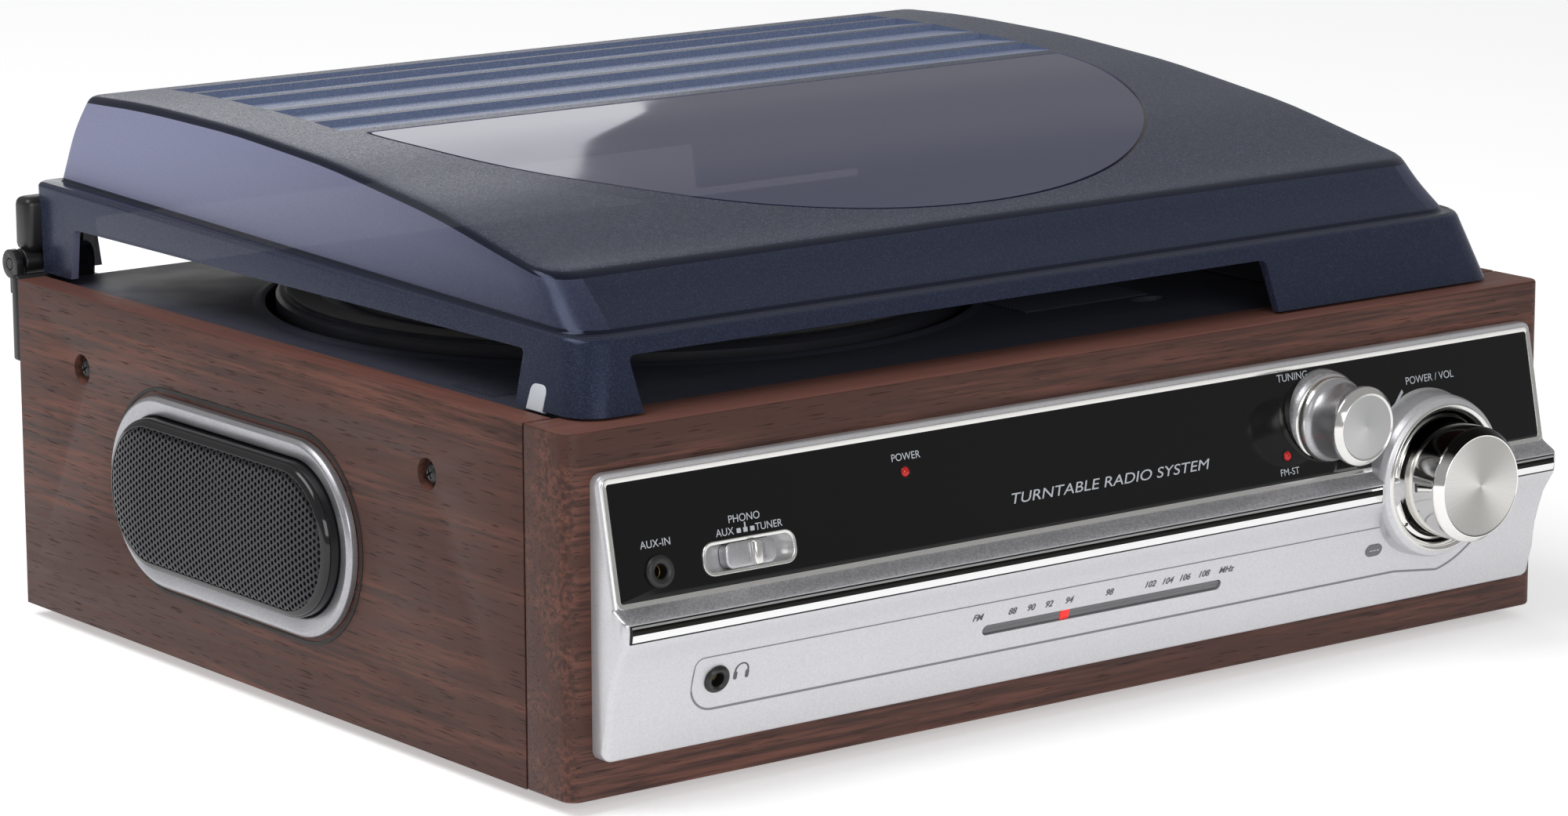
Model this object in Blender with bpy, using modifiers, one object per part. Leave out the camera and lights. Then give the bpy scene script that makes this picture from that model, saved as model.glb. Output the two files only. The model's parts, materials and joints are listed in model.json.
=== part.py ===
"""A compact record player with a built-in FM radio and a speaker in each side.

It stands on four rubber feet with its front towards -Y, in metres, +Z up. The origin is on the
floor, in the middle of everything from the volume knob's face to the back of the lid's hinges.
"""

import math

import bmesh
import bpy
from mathutils import Matrix, Vector

# Clearance between pieces that touch, and the running clearance of a shaft in its hole.
GAP = 0.0003

# Wooden cabinet.
CABINET_WIDTH = 0.340
CABINET_DEPTH = 0.2705
CABINET_HEIGHT = 0.0948
SIDE_THICK = 0.009
FRONT_THICK = 0.0187
FRONT_EDGE_RADIUS = 0.004
BACK_THICK = 0.006
BACK_RECESS = 0.001
BOTTOM_THICK = 0.006
FOOT_HEIGHT = 0.0035
FOOT_RADIUS = 0.009
FOOT_INSET = 0.030
VENT_COUNT = 5
VENT_SIZE = (0.050, 0.004)
VENT_PITCH = 0.010

# Side screws, sunk in their holes.
SCREW_SINK_RADIUS = 0.0043
SCREW_SINK_DEPTH = 0.003
SCREW_HOLE_RADIUS = 0.0018
SCREW_DROP = 0.0206
SCREW_FROM_FRONT = 0.0619
SCREW_FROM_BACK = 0.0351

# Fascia moulding. A reach is how far something stands out of the cabinet's front.
FASCIA_MARGIN = 0.007
FASCIA_BOTTOM = 0.0105
FASCIA_TOP_MARGIN = 0.0108
FASCIA_TOP_REACH = 0.0028
FASCIA_WALL = 0.0024
FASCIA_END = 0.005
LEDGE_HEIGHT = 0.0405
LEDGE_REACH = 0.0097
BAND_TOP = 0.0385
BAND_BOTTOM = 0.0321
BAND_REACH = 0.0147
BAND_LIP_RISE = (0.0012, 0.0026)
BAND_LIP_SINK = (0.0025, 0.0002)
BAND_TOP_ROUND = (0.0006, 0.0010)
SKIRT_TOP_REACH = 0.0108
SKIRT_FOOT_REACH = 0.0045
SKIRT_HOLLOW = 0.0014
SKIRT_STEPS = 6
OPENING_MARGIN = 0.012
HOLLOW_FOOT = 0.0035
HOLLOW_HEAD = 0.012

# Black window across the top of the fascia.
WINDOW_THICK = 0.002
WINDOW_RIM = 0.0022
WINDOW_FOOT = 0.0008
WINDOW_TOP_RIM = 0.0023

# Chrome strip in the fascia's band.
STRIP_HEIGHT = 0.0044
STRIP_THICK = 0.0013
STRIP_END_MARGIN = 0.0018

# Volume knob and its ring, placed from the fascia's right end and bottom.
VOLUME_FROM_END = 0.045
VOLUME_UP = 0.0365
VOLUME_KNOB_RADIUS = 0.0165
VOLUME_FACE_INSET = 0.00235
VOLUME_REACH = 0.0306
VOLUME_BEVEL = 0.0026
VOLUME_KNOB_CLEARANCE = 0.0021
VOLUME_WELL_REACH = 0.0085
VOLUME_RING_REACH = 0.0162
VOLUME_RING_LIP = 0.0028
VOLUME_RING_LIP_ROUND = (0.0006, 0.0004)
VOLUME_RING_FLARE = (0.0032, 0.0034)
SHAFT_RADIUS = 0.003
SHAFT_IN_PART = 0.008
POT_RADIUS = 0.009
POT_LENGTH = 0.012
POT_BEHIND = 0.003

# Tuning knob, its collar and the tuning capacitor.
TUNING_FROM_END = 0.0825
TUNING_UP = 0.0570
TUNING_HEAD_RADIUS = 0.0113
TUNING_HEAD_LENGTH = 0.0034
TUNING_FACE_BEVEL = (0.0021, 0.0014)
TUNING_WAIST_SINK = 0.0019
TUNING_LIP_GROWTH = 0.0005
TUNING_REACH = 0.0233
TUNING_COLLAR_MARGIN = 0.0017
TUNING_COLLAR_REACH = 0.0082
TUNING_COLLAR_BEVEL = (0.0008, 0.0012)
CAPACITOR_SIZE = (0.024, 0.018, 0.018)

# Function switch, sockets and lamps. Those on the window are placed up its slope.
SWITCH_FROM_END = 0.0437
SWITCH_UP = 0.0083
SWITCH_PAN_SIZE = (0.0294, 0.0086)
SWITCH_PAN_RADIUS = 0.0034
SWITCH_PAN_WALL = 0.0008
SWITCH_PAN_DEPTH = 0.002
SWITCH_CAP_LENGTH = 0.016
SWITCH_CAP_RISE = 0.0012
SWITCH_TRAVEL = 0.0055
SWITCH_STEM = (0.002, 0.0016, 0.0040)
AUX_FROM_END = 0.0153
AUX_UP = 0.0077
PHONES_FROM_END = 0.033
PHONES_UP = 0.0175
JACK_COLLAR_RADIUS = 0.0039
JACK_BARREL_RADIUS = 0.0030
JACK_BORE_RADIUS = 0.0018
JACK_LENGTH = 0.014
JACK_PROUD = 0.0012
LAMP_RADIUS = 0.0015
LAMP_LENGTH = 0.0065
LAMP_PROUD = 0.0004
POWER_LAMP = (-0.0667, 0.0218)
STEREO_LAMP_FROM_END = 0.0979
STEREO_LAMP_UP = 0.0082

# Tuning dial.
DIAL_LENGTH = 0.0841
DIAL_HEIGHT = 0.0030
DIAL_UP = 0.0161
DIAL_CENTRE = -0.0005
DIAL_LENS_REACH = 0.0070
DIAL_LENS_THICK = 0.0018
POINTER_AT = -0.0139
POINTER_SIZE = (0.0022, 0.0012, 0.0100)
POINTER_REACH = 0.0028

# Speakers, placed from the cabinet's front and bottom.
SPEAKER_FROM_FRONT = 0.1559
SPEAKER_UP = 0.0468
BEZEL_OPENING = (0.1080, 0.0396)
BEZEL_RING = 0.0072
BEZEL_PROUD = 0.0035
BEZEL_SLEEVE = 0.0016
GRILLE_THICK = 0.0016
GRILLE_RISE = 0.0040
DRIVER_RADIUS = 0.0255
DRIVER_FLANGE = 0.0045
DRIVER_DEPTH = 0.018
CONE_EDGE = 0.002
MAGNET_RADIUS = 0.019
MAGNET_DEPTH = 0.011

# Deck, with the platter's well.
DECK_DROP = 0.0012
DECK_THICK = 0.003
WELL_FROM_LEFT = 0.125
WELL_FROM_FRONT = 0.1493
WELL_CLEARANCE = 0.003
WELL_DEPTH = 0.0125
WELL_WALL = 0.0025
FINGER_PAD = (0.012, 0.007)
FINGER_PAD_AT = (0.112, 0.052)
POCKET_DEPTH = 0.0015

# Platter, its mat, bearing and spindle.
PLATTER_RADIUS = 0.097
PLATTER_RISE = 0.003
PLATTER_RIM = 0.0025
PLATTER_SKIN = 0.0025
PLATTER_DROP = 0.008
DRIVE_RING_INSET = 0.025
DRIVE_RING_WALL = 0.0025
HUB_RADIUS = 0.009
HUB_DROP = 0.011
MAT_MARGIN = 0.004
MAT_THICK = 0.0012
SPINDLE_RADIUS = 0.0036
SPINDLE_RISE = 0.011
SPINDLE_FLANGE = 0.010
SPINDLE_FLANGE_THICK = 0.0015
BEARING_WALL = 0.0013

# Motor, pulley and belt.
MOTOR_RADIUS = 0.015
MOTOR_LENGTH = 0.020
MOTOR_ANGLE = 135.0
MOTOR_SPACING = 0.004
MOTOR_SHAFT_RADIUS = 0.001
MOTOR_SHAFT_LENGTH = 0.009
PULLEY_RADIUS = 0.005
PULLEY_LENGTH = 0.007
PULLEY_FLOOR_GAP = 0.003
PULLEY_HOLE_MARGIN = 0.002
BELT_HEIGHT = 0.0045
BELT_THICK = 0.0008

# Tonearm, placed from the spindle, and its rest.
PIVOT_FROM_SPINDLE = (0.163, 0.066)
ARM_LENGTH = 0.176
ARM_HEIGHT = 0.0150
ARM_RADIUS = 0.0035
ARM_BASE_RADIUS = 0.019
ARM_BASE_HEIGHT = 0.0040
ARM_BASE_FLOOR = 0.0010
YOKE_RADIUS = 0.0105
YOKE_STUB_RADIUS = 0.004
YOKE_DISC = 0.0022
YOKE_EAR_THICK = 0.0025
YOKE_EAR_LENGTH = 0.008
YOKE_EAR_OVER_PIN = 0.004
ARM_PIN_RADIUS = 0.0012
BALANCE_RADIUS = 0.0075
BALANCE_NEAR = 0.018
BALANCE_LENGTH = 0.012
SHELL_WIDTH = 0.013
SHELL_LENGTH = 0.026
SHELL_THICK = 0.004
STYLUS_OVER_MAT = 0.0012
CARTRIDGE_SIZE = (0.010, 0.016, 0.0042)
REST_FROM_PIVOT = 0.108
REST_RADIUS = 0.0055
REST_EAR = (0.0040, 0.0045)
CLIP_LENGTH = 0.014
CLIP_WIDTH = 0.0030
CLIP_THICK = 0.0024
CLIP_LIFT = 0.0030

# Deck switches.
SLIDER_SIZE = (0.009, 0.010, 0.004)
SLIDER_STEM = (0.0020, 0.0040, 0.0060)
SLIDER_FROM_ARM = 0.024
SPEED_SLIDER_FROM_FRONT = 0.075
SPEED_TRAVEL = 0.012
STOP_SLIDER_FROM_FRONT = 0.120
STOP_TRAVEL = 0.006

# Lid, a clear shell over the deck, with openings where a large record stands out.
LID_WALL = 0.0022
LID_FOOT_MARGIN = 0.012
LID_FOOT_FROM_FRONT = 0.0092
LID_BAND_INSET = 0.0054
LID_FRONT_INSET = 0.0063
LID_SHELL_INSET = 0.0023
LID_SHELL_FRONT_INSET = 0.0051
LID_BACK_OVERHANG = 0.0033
LID_FOOT_LIFT = 0.0007
LID_SHOULDER_FRONT = 0.0191
LID_SHOULDER_BACK = 0.0262
LID_CREASE_HEIGHT = 0.0328
LID_CREASE_INSET = 0.0144
LID_HEIGHT = 0.0536
LID_APEX_FROM_BACK = 0.054
LID_BACK_SLOPE = 0.012
LID_ARC_STEPS = 10
LID_EDGE_RADIUS = 0.004
LID_OPENING_HEIGHT = 0.0147
LID_OPENING_RADIUS = 0.006
LID_SIDE_OPENING = (0.0362, 0.012)
LID_FRONT_OPENING = (0.030, 0.121)

# Lid hinges, behind the cabinet.
HINGE_FROM_SIDE = 0.0148
HINGE_WIDTH = 0.0256
HINGE_BLOCK_WIDTH = 0.0206
HINGE_AXIS_BEHIND = 0.0078
HINGE_AXIS_UP = 0.0032
HINGE_KNUCKLE = 0.0042
HINGE_PIN_RADIUS = 0.0015
HINGE_BLOCK_DEPTH = 0.0095
HINGE_BLOCK_HEIGHT = 0.0185
HINGE_PLATE_THICK = 0.0027
HINGE_PLATE_DROP = 0.0240

# Electronics in the cabinet.
BOARD_SIZE = (0.120, 0.070, 0.0016)
BOARD_FROM_FRONT = 0.012
BOARD_HEIGHT = 0.016
TRANSFORMER_SIZE = (0.042, 0.036, 0.034)
TRANSFORMER_TAB = (0.058, 0.018, 0.002)
TRANSFORMER_FROM_RIGHT = 0.034
TRANSFORMER_FROM_BACK = 0.012
SOCKET_PLATE = (0.034, 0.0016, 0.014)
SOCKET_RADIUS = 0.0042
SOCKET_BORE_RADIUS = 0.0018
SOCKET_UP = 0.0594
SOCKET_PITCH = 0.014
SOCKET_PROUD = 0.007
SOCKET_FROM_RIGHT = 0.060
INLET_FROM_LEFT = 0.060
INLET_UP = 0.024
INLET_RADIUS = 0.0045
INLET_FLANGE = 0.0065
CORD_RADIUS = 0.0018

# Planes that the sizes above lead to.
BACK_REACH = LID_BACK_OVERHANG + GAP + HINGE_BLOCK_DEPTH
OVERALL_DEPTH = VOLUME_REACH + CABINET_DEPTH + BACK_REACH
FRONT = VOLUME_REACH - OVERALL_DEPTH / 2
BACK = OVERALL_DEPTH / 2 - BACK_REACH
SIDE = CABINET_WIDTH / 2
INNER_SIDE = SIDE - SIDE_THICK
FLOOR = FOOT_HEIGHT
TOP = FLOOR + CABINET_HEIGHT
INNER_FRONT = FRONT + FRONT_THICK
DECK = TOP - DECK_DROP
FASCIA_LOW = FLOOR + FASCIA_BOTTOM
FASCIA_HIGH = TOP - FASCIA_TOP_MARGIN
FASCIA_END_X = SIDE - FASCIA_MARGIN
WINDOW_RISE = FASCIA_HIGH - FASCIA_LOW - LEDGE_HEIGHT
WINDOW_TILT = math.atan2(LEDGE_REACH - FASCIA_TOP_REACH, WINDOW_RISE)
WINDOW_SLOPE = WINDOW_RISE / math.cos(WINDOW_TILT)
VOLUME_WELL_RADIUS = VOLUME_KNOB_RADIUS + VOLUME_KNOB_CLEARANCE
VOLUME_RING_RADIUS = VOLUME_WELL_RADIUS + VOLUME_RING_LIP + VOLUME_RING_FLARE[0]
TUNING_COLLAR_RADIUS = TUNING_HEAD_RADIUS + TUNING_COLLAR_MARGIN
TUNING_WAIST_RADIUS = TUNING_HEAD_RADIUS - TUNING_WAIST_SINK
WELL_RADIUS = PLATTER_RADIUS + WELL_CLEARANCE
DRIVE_RING_RADIUS = PLATTER_RADIUS - DRIVE_RING_INSET
BEZEL_SIZE = (BEZEL_OPENING[0] + 2 * BEZEL_RING, BEZEL_OPENING[1] + 2 * BEZEL_RING)
WELL = Vector((WELL_FROM_LEFT - SIDE, FRONT + WELL_FROM_FRONT, DECK))
WELL_FLOOR = DECK - WELL_DEPTH
PLATTER_TOP = DECK + PLATTER_RISE
VOLUME = Vector((FASCIA_END_X - VOLUME_FROM_END, FRONT, FASCIA_LOW + VOLUME_UP))
TUNING = Vector((FASCIA_END_X - TUNING_FROM_END, FRONT, FASCIA_LOW + TUNING_UP))
PIVOT = Vector((WELL.x + PIVOT_FROM_SPINDLE[0], WELL.y + PIVOT_FROM_SPINDLE[1], DECK + ARM_HEIGHT))
HINGE_Y = BACK + HINGE_AXIS_BEHIND
HINGE_Z = TOP + HINGE_AXIS_UP
LID_SIDE = SIDE - LID_FOOT_MARGIN
LID_FRONT = FRONT + LID_FOOT_FROM_FRONT
LID_BACK = BACK + LID_BACK_OVERHANG
SIDES = (("left", -1), ("right", 1))

# Turns that lay a flat outline, drawn in X and Y, into another plane of the part.
LEVEL = Matrix.Identity(4)
FACING_FRONT = Matrix.Rotation(math.pi / 2, 4, "X")
FACING_SIDE = Matrix(((0, 0, 1, 0), (1, 0, 0, 0), (0, 1, 0, 0), (0, 0, 0, 1)))

# Turns that point a turned piece's own +Z out of the front, or out of a side.
OUT_OF_FRONT = (math.pi / 2, 0.0, 0.0)

COLOURS = {
    "walnut": ((0.105, 0.036, 0.022), 0.42, 0.0),
    "fibreboard": ((0.22, 0.14, 0.08), 0.85, 0.0),
    "silver_paint": ((0.72, 0.72, 0.74), 0.32, 0.55),
    "gloss_black": ((0.008, 0.008, 0.009), 0.06, 0.0),
    "chrome": ((0.82, 0.82, 0.83), 0.08, 1.0),
    "spun_aluminium": ((0.72, 0.71, 0.69), 0.25, 1.0),
    "black_plastic": ((0.012, 0.012, 0.013), 0.38, 0.0),
    "deck_plastic": ((0.075, 0.085, 0.105), 0.62, 0.0),
    "smoked_plastic": ((0.055, 0.065, 0.095), 0.12, 0.0),
    "rubber": ((0.015, 0.015, 0.015), 0.85, 0.0),
    "felt": ((0.03, 0.03, 0.035), 0.95, 0.0),
    "steel": ((0.60, 0.60, 0.61), 0.25, 1.0),
    "brass": ((0.62, 0.46, 0.18), 0.28, 1.0),
    "grille_black": ((0.02, 0.02, 0.021), 0.45, 0.6),
    "red_lens": ((0.65, 0.01, 0.01), 0.15, 0.0),
    "grey_lens": ((0.11, 0.11, 0.115), 0.15, 0.0),
    "circuit_green": ((0.02, 0.16, 0.06), 0.5, 0.0),
    "iron": ((0.16, 0.16, 0.17), 0.45, 0.9),
}


def clear_scene():
    for obj in list(bpy.data.objects):
        bpy.data.objects.remove(obj, do_unlink=True)


def collection(name):
    made = bpy.data.collections.new(name)
    bpy.context.scene.collection.children.link(made)
    return made


def finish(name):
    """The material of this name, made the first time that it is asked for."""
    found = bpy.data.materials.get(name)
    if found:
        return found
    colour, roughness, metallic = COLOURS[name]
    made = bpy.data.materials.new(name)
    made.use_nodes = True
    made.diffuse_color = (*colour, 1.0)
    shader = made.node_tree.nodes["Principled BSDF"]
    shader.inputs["Base Color"].default_value = (*colour, 1.0)
    shader.inputs["Roughness"].default_value = roughness
    shader.inputs["Metallic"].default_value = metallic
    return made


def frame_empty(name, at, rotation=(0.0, 0.0, 0.0)):
    """An empty on a joint's axis, or at a sloping face, that its pieces hang from."""
    made = bpy.data.objects.new(name, None)
    made.empty_display_size = 0.01
    made.location = at
    made.rotation_euler = rotation
    PARTS.objects.link(made)
    return made


def add(name, mesh, at, rotation=(0.0, 0.0, 0.0), parent=None, local=False):
    """A new object. Its place is in the world, or local to a parent that has a slope of its own."""
    obj = bpy.data.objects.new(name, mesh)
    PARTS.objects.link(obj)
    offset = parent.location if parent and not local else Vector((0.0, 0.0, 0.0))
    obj.location = Vector(at) - offset
    obj.rotation_euler = rotation
    obj.parent = parent
    return obj


def dress(obj, look):
    """Names the object's finish, and gives its round faces a smooth look."""
    if obj.data.polygons:
        obj.data.shade_smooth()
        obj.data.set_sharp_from_angle(angle=math.radians(35))
    obj.data.materials.append(finish(look))
    return obj


def mesh_of(shape, name):
    made = bpy.data.meshes.new(name)
    shape.to_mesh(made)
    shape.free()
    return made


def block(name, low, high, parent=None, local=False):
    """A box between two corners, with its origin at its middle."""
    low, high = Vector(low), Vector(high)
    shape = bmesh.new()
    bmesh.ops.create_cube(shape, size=1.0)
    bmesh.ops.scale(shape, vec=high - low, verts=shape.verts)
    return add(name, mesh_of(shape, name), (low + high) / 2, parent=parent, local=local)


def rod(name, radius, length, axis, centre, sides=24, parent=None, local=False):
    """A cylinder along one axis, with its origin at its middle."""
    shape = bmesh.new()
    bmesh.ops.create_cone(
        shape, cap_ends=True, segments=sides, radius1=radius, radius2=radius, depth=length
    )
    turns = {"X": Matrix.Rotation(math.pi / 2, 4, "Y"), "Y": FACING_FRONT, "Z": LEVEL}
    bmesh.ops.transform(shape, matrix=turns[axis], verts=shape.verts)
    return add(name, mesh_of(shape, name), centre, parent=parent, local=local)


def turned(name, profile, at, rotation=(0.0, 0.0, 0.0), steps=32, parent=None, local=False, ring=False):
    """A piece turned about its own Z from (radius, height) points that run down its outer side."""
    shape = bmesh.new()
    points = [shape.verts.new((radius, 0.0, height)) for radius, height in profile]
    following = points[1:] + points[:1] if ring else points[1:]
    for start, end in zip(points, following):
        shape.edges.new((start, end))
    obj = add(name, mesh_of(shape, name), at, rotation, parent, local)
    screw = obj.modifiers.new("turn", "SCREW")
    screw.steps = screw.render_steps = steps
    screw.use_merge_vertices = True
    screw.merge_threshold = 0.00001
    screw.use_smooth_shade = True
    return obj


def arc(centre, radius, start, end, steps):
    """Points along a circle from one angle to another, in degrees, with both ends."""
    angles = [math.radians(start + (end - start) * i / steps) for i in range(steps + 1)]
    return [(centre[0] + radius * math.cos(a), centre[1] + radius * math.sin(a)) for a in angles]


def rounded(width, height, radius, steps=4):
    """A rectangle's outline about its middle, with round corners, or a stadium's."""
    corners = ((1, 1), (-1, 1), (-1, -1), (1, -1))
    outline = []
    for index, (x, y) in enumerate(corners):
        centre = (x * (width / 2 - radius), y * (height / 2 - radius))
        outline += arc(centre, radius, 90 * index, 90 * index + 90, steps)
    return outline


def plate(name, outlines, thick, turn, at, parent=None, local=False):
    """A flat solid of an outline and its holes, thick on both sides of its plane, as a mesh."""
    curve = bpy.data.curves.new(name, "CURVE")
    curve.dimensions = "2D"
    curve.fill_mode = "BOTH"
    curve.extrude = thick / 2
    for outline in outlines:
        kept = [p for i, p in enumerate(outline) if math.dist(p, outline[i - 1]) > 1e-6]
        spline = curve.splines.new("POLY")
        spline.points.add(len(kept) - 1)
        for point, (x, y) in zip(spline.points, kept):
            point.co = (x, y, 0.0, 1.0)
        spline.use_cyclic_u = True
    guide = bpy.data.objects.new(name, curve)
    PARTS.objects.link(guide)
    graph = bpy.context.evaluated_depsgraph_get()
    mesh = bpy.data.meshes.new_from_object(guide.evaluated_get(graph))
    bpy.data.objects.remove(guide)
    bpy.data.curves.remove(curve)
    shape = bmesh.new()
    shape.from_mesh(mesh)
    bmesh.ops.remove_doubles(shape, verts=shape.verts, dist=0.000001)
    bmesh.ops.recalc_face_normals(shape, faces=shape.faces)
    bmesh.ops.transform(shape, matrix=turn, verts=shape.verts)
    bpy.data.meshes.remove(mesh)
    obj = add(name, mesh_of(shape, name), at, parent=parent, local=local)
    obj.data.name = name
    return obj


def tapered(name, low_x, low_y, high_x, high_y, z_low, z_front, z_back):
    """A box that narrows upwards, whose top slopes from front to back."""
    shape = bmesh.new()
    bmesh.ops.create_cube(shape, size=2.0)
    for vert in shape.verts:
        x, y = (high_x, high_y) if vert.co.z > 0 else (low_x, low_y)
        z = (z_front if vert.co.y < 0 else z_back) if vert.co.z > 0 else z_low
        vert.co = (math.copysign(x, vert.co.x), y[0] if vert.co.y < 0 else y[1], z)
    return add(name, mesh_of(shape, name), (0.0, 0.0, 0.0))


def soften(obj, radius, segments=2, above=30):
    bevel = obj.modifiers.new("round_edges", "BEVEL")
    bevel.width = radius
    bevel.segments = segments
    bevel.limit_method = "ANGLE"
    bevel.angle_limit = math.radians(above)
    return obj


def combine(obj, other, operation):
    """Adds or takes away another shape, which becomes a hidden guide."""
    boolean = obj.modifiers.new(other.name, "BOOLEAN")
    boolean.operation = operation
    boolean.solver = "EXACT"
    boolean.object = other
    other.hide_render = True
    other.display_type = "WIRE"
    if other.name in PARTS.objects:
        PARTS.objects.unlink(other)
        CUTTERS.objects.link(other)


def cut(obj, *cutters):
    for cutter in cutters:
        combine(obj, cutter, "DIFFERENCE")
    return obj


def build_on(obj, *others):
    for other in others:
        combine(obj, other, "UNION")
    return obj


# ---- Cabinet ----


def side_panel(side, sign):
    """A wooden side, with the speaker's hole and two sunk screw holes."""
    outer = sign * SIDE
    inner = sign * INNER_SIDE
    low = (min(outer, inner), INNER_FRONT + GAP, FLOOR)
    panel = block(f"side_panel_{side}", low, (max(outer, inner), BACK, TOP))
    hole = rounded(*grown(BEZEL_OPENING, BEZEL_SLEEVE + GAP), stadium_radius(BEZEL_SLEEVE + GAP), 8)
    middle = (outer + inner) / 2
    cutter = plate(
        f"speaker_hole_{side}", [hole], 3 * SIDE_THICK, FACING_SIDE, (middle, *speaker_centre())
    )
    cut(panel, cutter)
    for name, y in (("front", FRONT + SCREW_FROM_FRONT), ("back", BACK - SCREW_FROM_BACK)):
        place = (outer, y, TOP - SCREW_DROP)
        sink = rod(f"screw_sink_{name}_{side}", SCREW_SINK_RADIUS, 2 * SCREW_SINK_DEPTH, "X", place, 16)
        hole = rod(f"screw_hole_{name}_{side}", SCREW_HOLE_RADIUS, 3 * SIDE_THICK, "X", place, 12)
        cut(panel, sink, hole)
    return dress(panel, "walnut")


def speaker_centre():
    return (FRONT + SPEAKER_FROM_FRONT, FLOOR + SPEAKER_UP)


def grown(size, by):
    return (size[0] + 2 * by, size[1] + 2 * by)


def stadium_radius(by):
    """The end radius of the bezel's opening, grown by a wall."""
    return BEZEL_OPENING[1] / 2 + by


def front_frame():
    """The wooden front, with round upright edges and the opening behind the fascia."""
    half = FRONT_THICK / 2
    r = FRONT_EDGE_RADIUS
    outline = [(SIDE, half), (-SIDE, half)]
    outline += arc((r - SIDE, r - half), r, 180, 270, 4) + arc((SIDE - r, r - half), r, 270, 360, 4)
    place = (0.0, FRONT + half, (FLOOR + TOP) / 2)
    frame = plate("front_frame", [outline], CABINET_HEIGHT, LEVEL, place)
    x = FASCIA_END_X - OPENING_MARGIN
    low = (-x, FRONT - FRONT_THICK, FASCIA_LOW + OPENING_MARGIN / 2)
    high = (x, FRONT + 2 * FRONT_THICK, FASCIA_HIGH - OPENING_MARGIN / 2)
    return dress(cut(frame, block("front_opening", low, high)), "walnut")


def back_panel():
    """The fibreboard back, with holes for the sound sockets and the mains lead, and slots."""
    y = BACK - BACK_RECESS
    low = (GAP - INNER_SIDE, y - BACK_THICK, FLOOR)
    panel = block("rear_panel", low, (INNER_SIDE - GAP, y, DECK - DECK_THICK - GAP))
    socket = block(
        "socket_hole",
        (socket_x() - SOCKET_PITCH - GAP, y - 2 * BACK_THICK, socket_z() - SOCKET_RADIUS - GAP),
        (socket_x() + SOCKET_PITCH + GAP, y + BACK_THICK, socket_z() + SOCKET_RADIUS + GAP),
    )
    inlet = rod("inlet_hole", INLET_RADIUS + GAP, 4 * BACK_THICK, "Y", inlet_place(), 20)
    slots = vents("back", (0.0, y, FLOOR + INLET_UP + VENT_PITCH), FACING_FRONT)
    return dress(cut(panel, socket, inlet, *slots), "fibreboard")


def vents(name, middle, turn):
    """Cutters for a row of slots, one above another in the plane they are turned to."""
    made = []
    for index in range(VENT_COUNT):
        step = (index - (VENT_COUNT - 1) / 2) * VENT_PITCH
        shift = turn.to_3x3() @ Vector((0.0, step, 0.0))
        outline = rounded(*VENT_SIZE, VENT_SIZE[1] / 2, 3)
        place = Vector(middle) + shift
        made.append(plate(f"{name}_vent_{index + 1}", [outline], 4 * BACK_THICK, turn, place))
    return made


def bottom_board():
    low = (GAP - INNER_SIDE, INNER_FRONT + GAP, FLOOR)
    high = (INNER_SIDE - GAP, BACK - BACK_RECESS - BACK_THICK - GAP, FLOOR + BOTTOM_THICK)
    board = block("bottom_board", low, high)
    return dress(cut(board, *vents("bottom", (0.0, WELL.y, FLOOR), LEVEL)), "fibreboard")


def foot(side, sign, end, y):
    """A rubber foot under the bottom board, slightly narrower at the floor."""
    profile = [
        (0.0, FOOT_HEIGHT - GAP),
        (FOOT_RADIUS, FOOT_HEIGHT - GAP),
        (FOOT_RADIUS * 0.98, 0.0006),
        (FOOT_RADIUS * 0.92, 0.0),
        (0.0, 0.0),
    ]
    at = (sign * (SIDE - FOOT_INSET), y, 0.0)
    return dress(turned(f"foot_{end}_{side}", profile, at, steps=20), "rubber")


def feet():
    for side, sign in SIDES:
        foot(side, sign, "front", FRONT + FOOT_INSET)
        foot(side, sign, "rear", BACK - FOOT_INSET)


# ---- Fascia ----


def reach_of(height):
    """How far the fascia's skirt stands out at a height above its bottom edge."""
    share = height / BAND_BOTTOM
    straight = SKIRT_FOOT_REACH + (SKIRT_TOP_REACH - SKIRT_FOOT_REACH) * share
    return straight - SKIRT_HOLLOW * math.sin(math.pi * share)


def fascia_front():
    """(reach, height) points up the fascia's front, from its bottom edge to its top edge."""
    steps = [BAND_BOTTOM * i / SKIRT_STEPS for i in range(SKIRT_STEPS + 1)]
    skirt = [(reach_of(h), h) for h in steps]
    band = [
        (BAND_REACH - BAND_LIP_SINK[0], BAND_BOTTOM + BAND_LIP_RISE[0]),
        (BAND_REACH - BAND_LIP_SINK[1], BAND_BOTTOM + BAND_LIP_RISE[1]),
        (BAND_REACH, BAND_TOP - BAND_TOP_ROUND[1]),
        (BAND_REACH - BAND_TOP_ROUND[0], BAND_TOP),
        (LEDGE_REACH, LEDGE_HEIGHT),
    ]
    return skirt + band + [(FASCIA_TOP_REACH, FASCIA_HIGH - FASCIA_LOW)]


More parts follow.
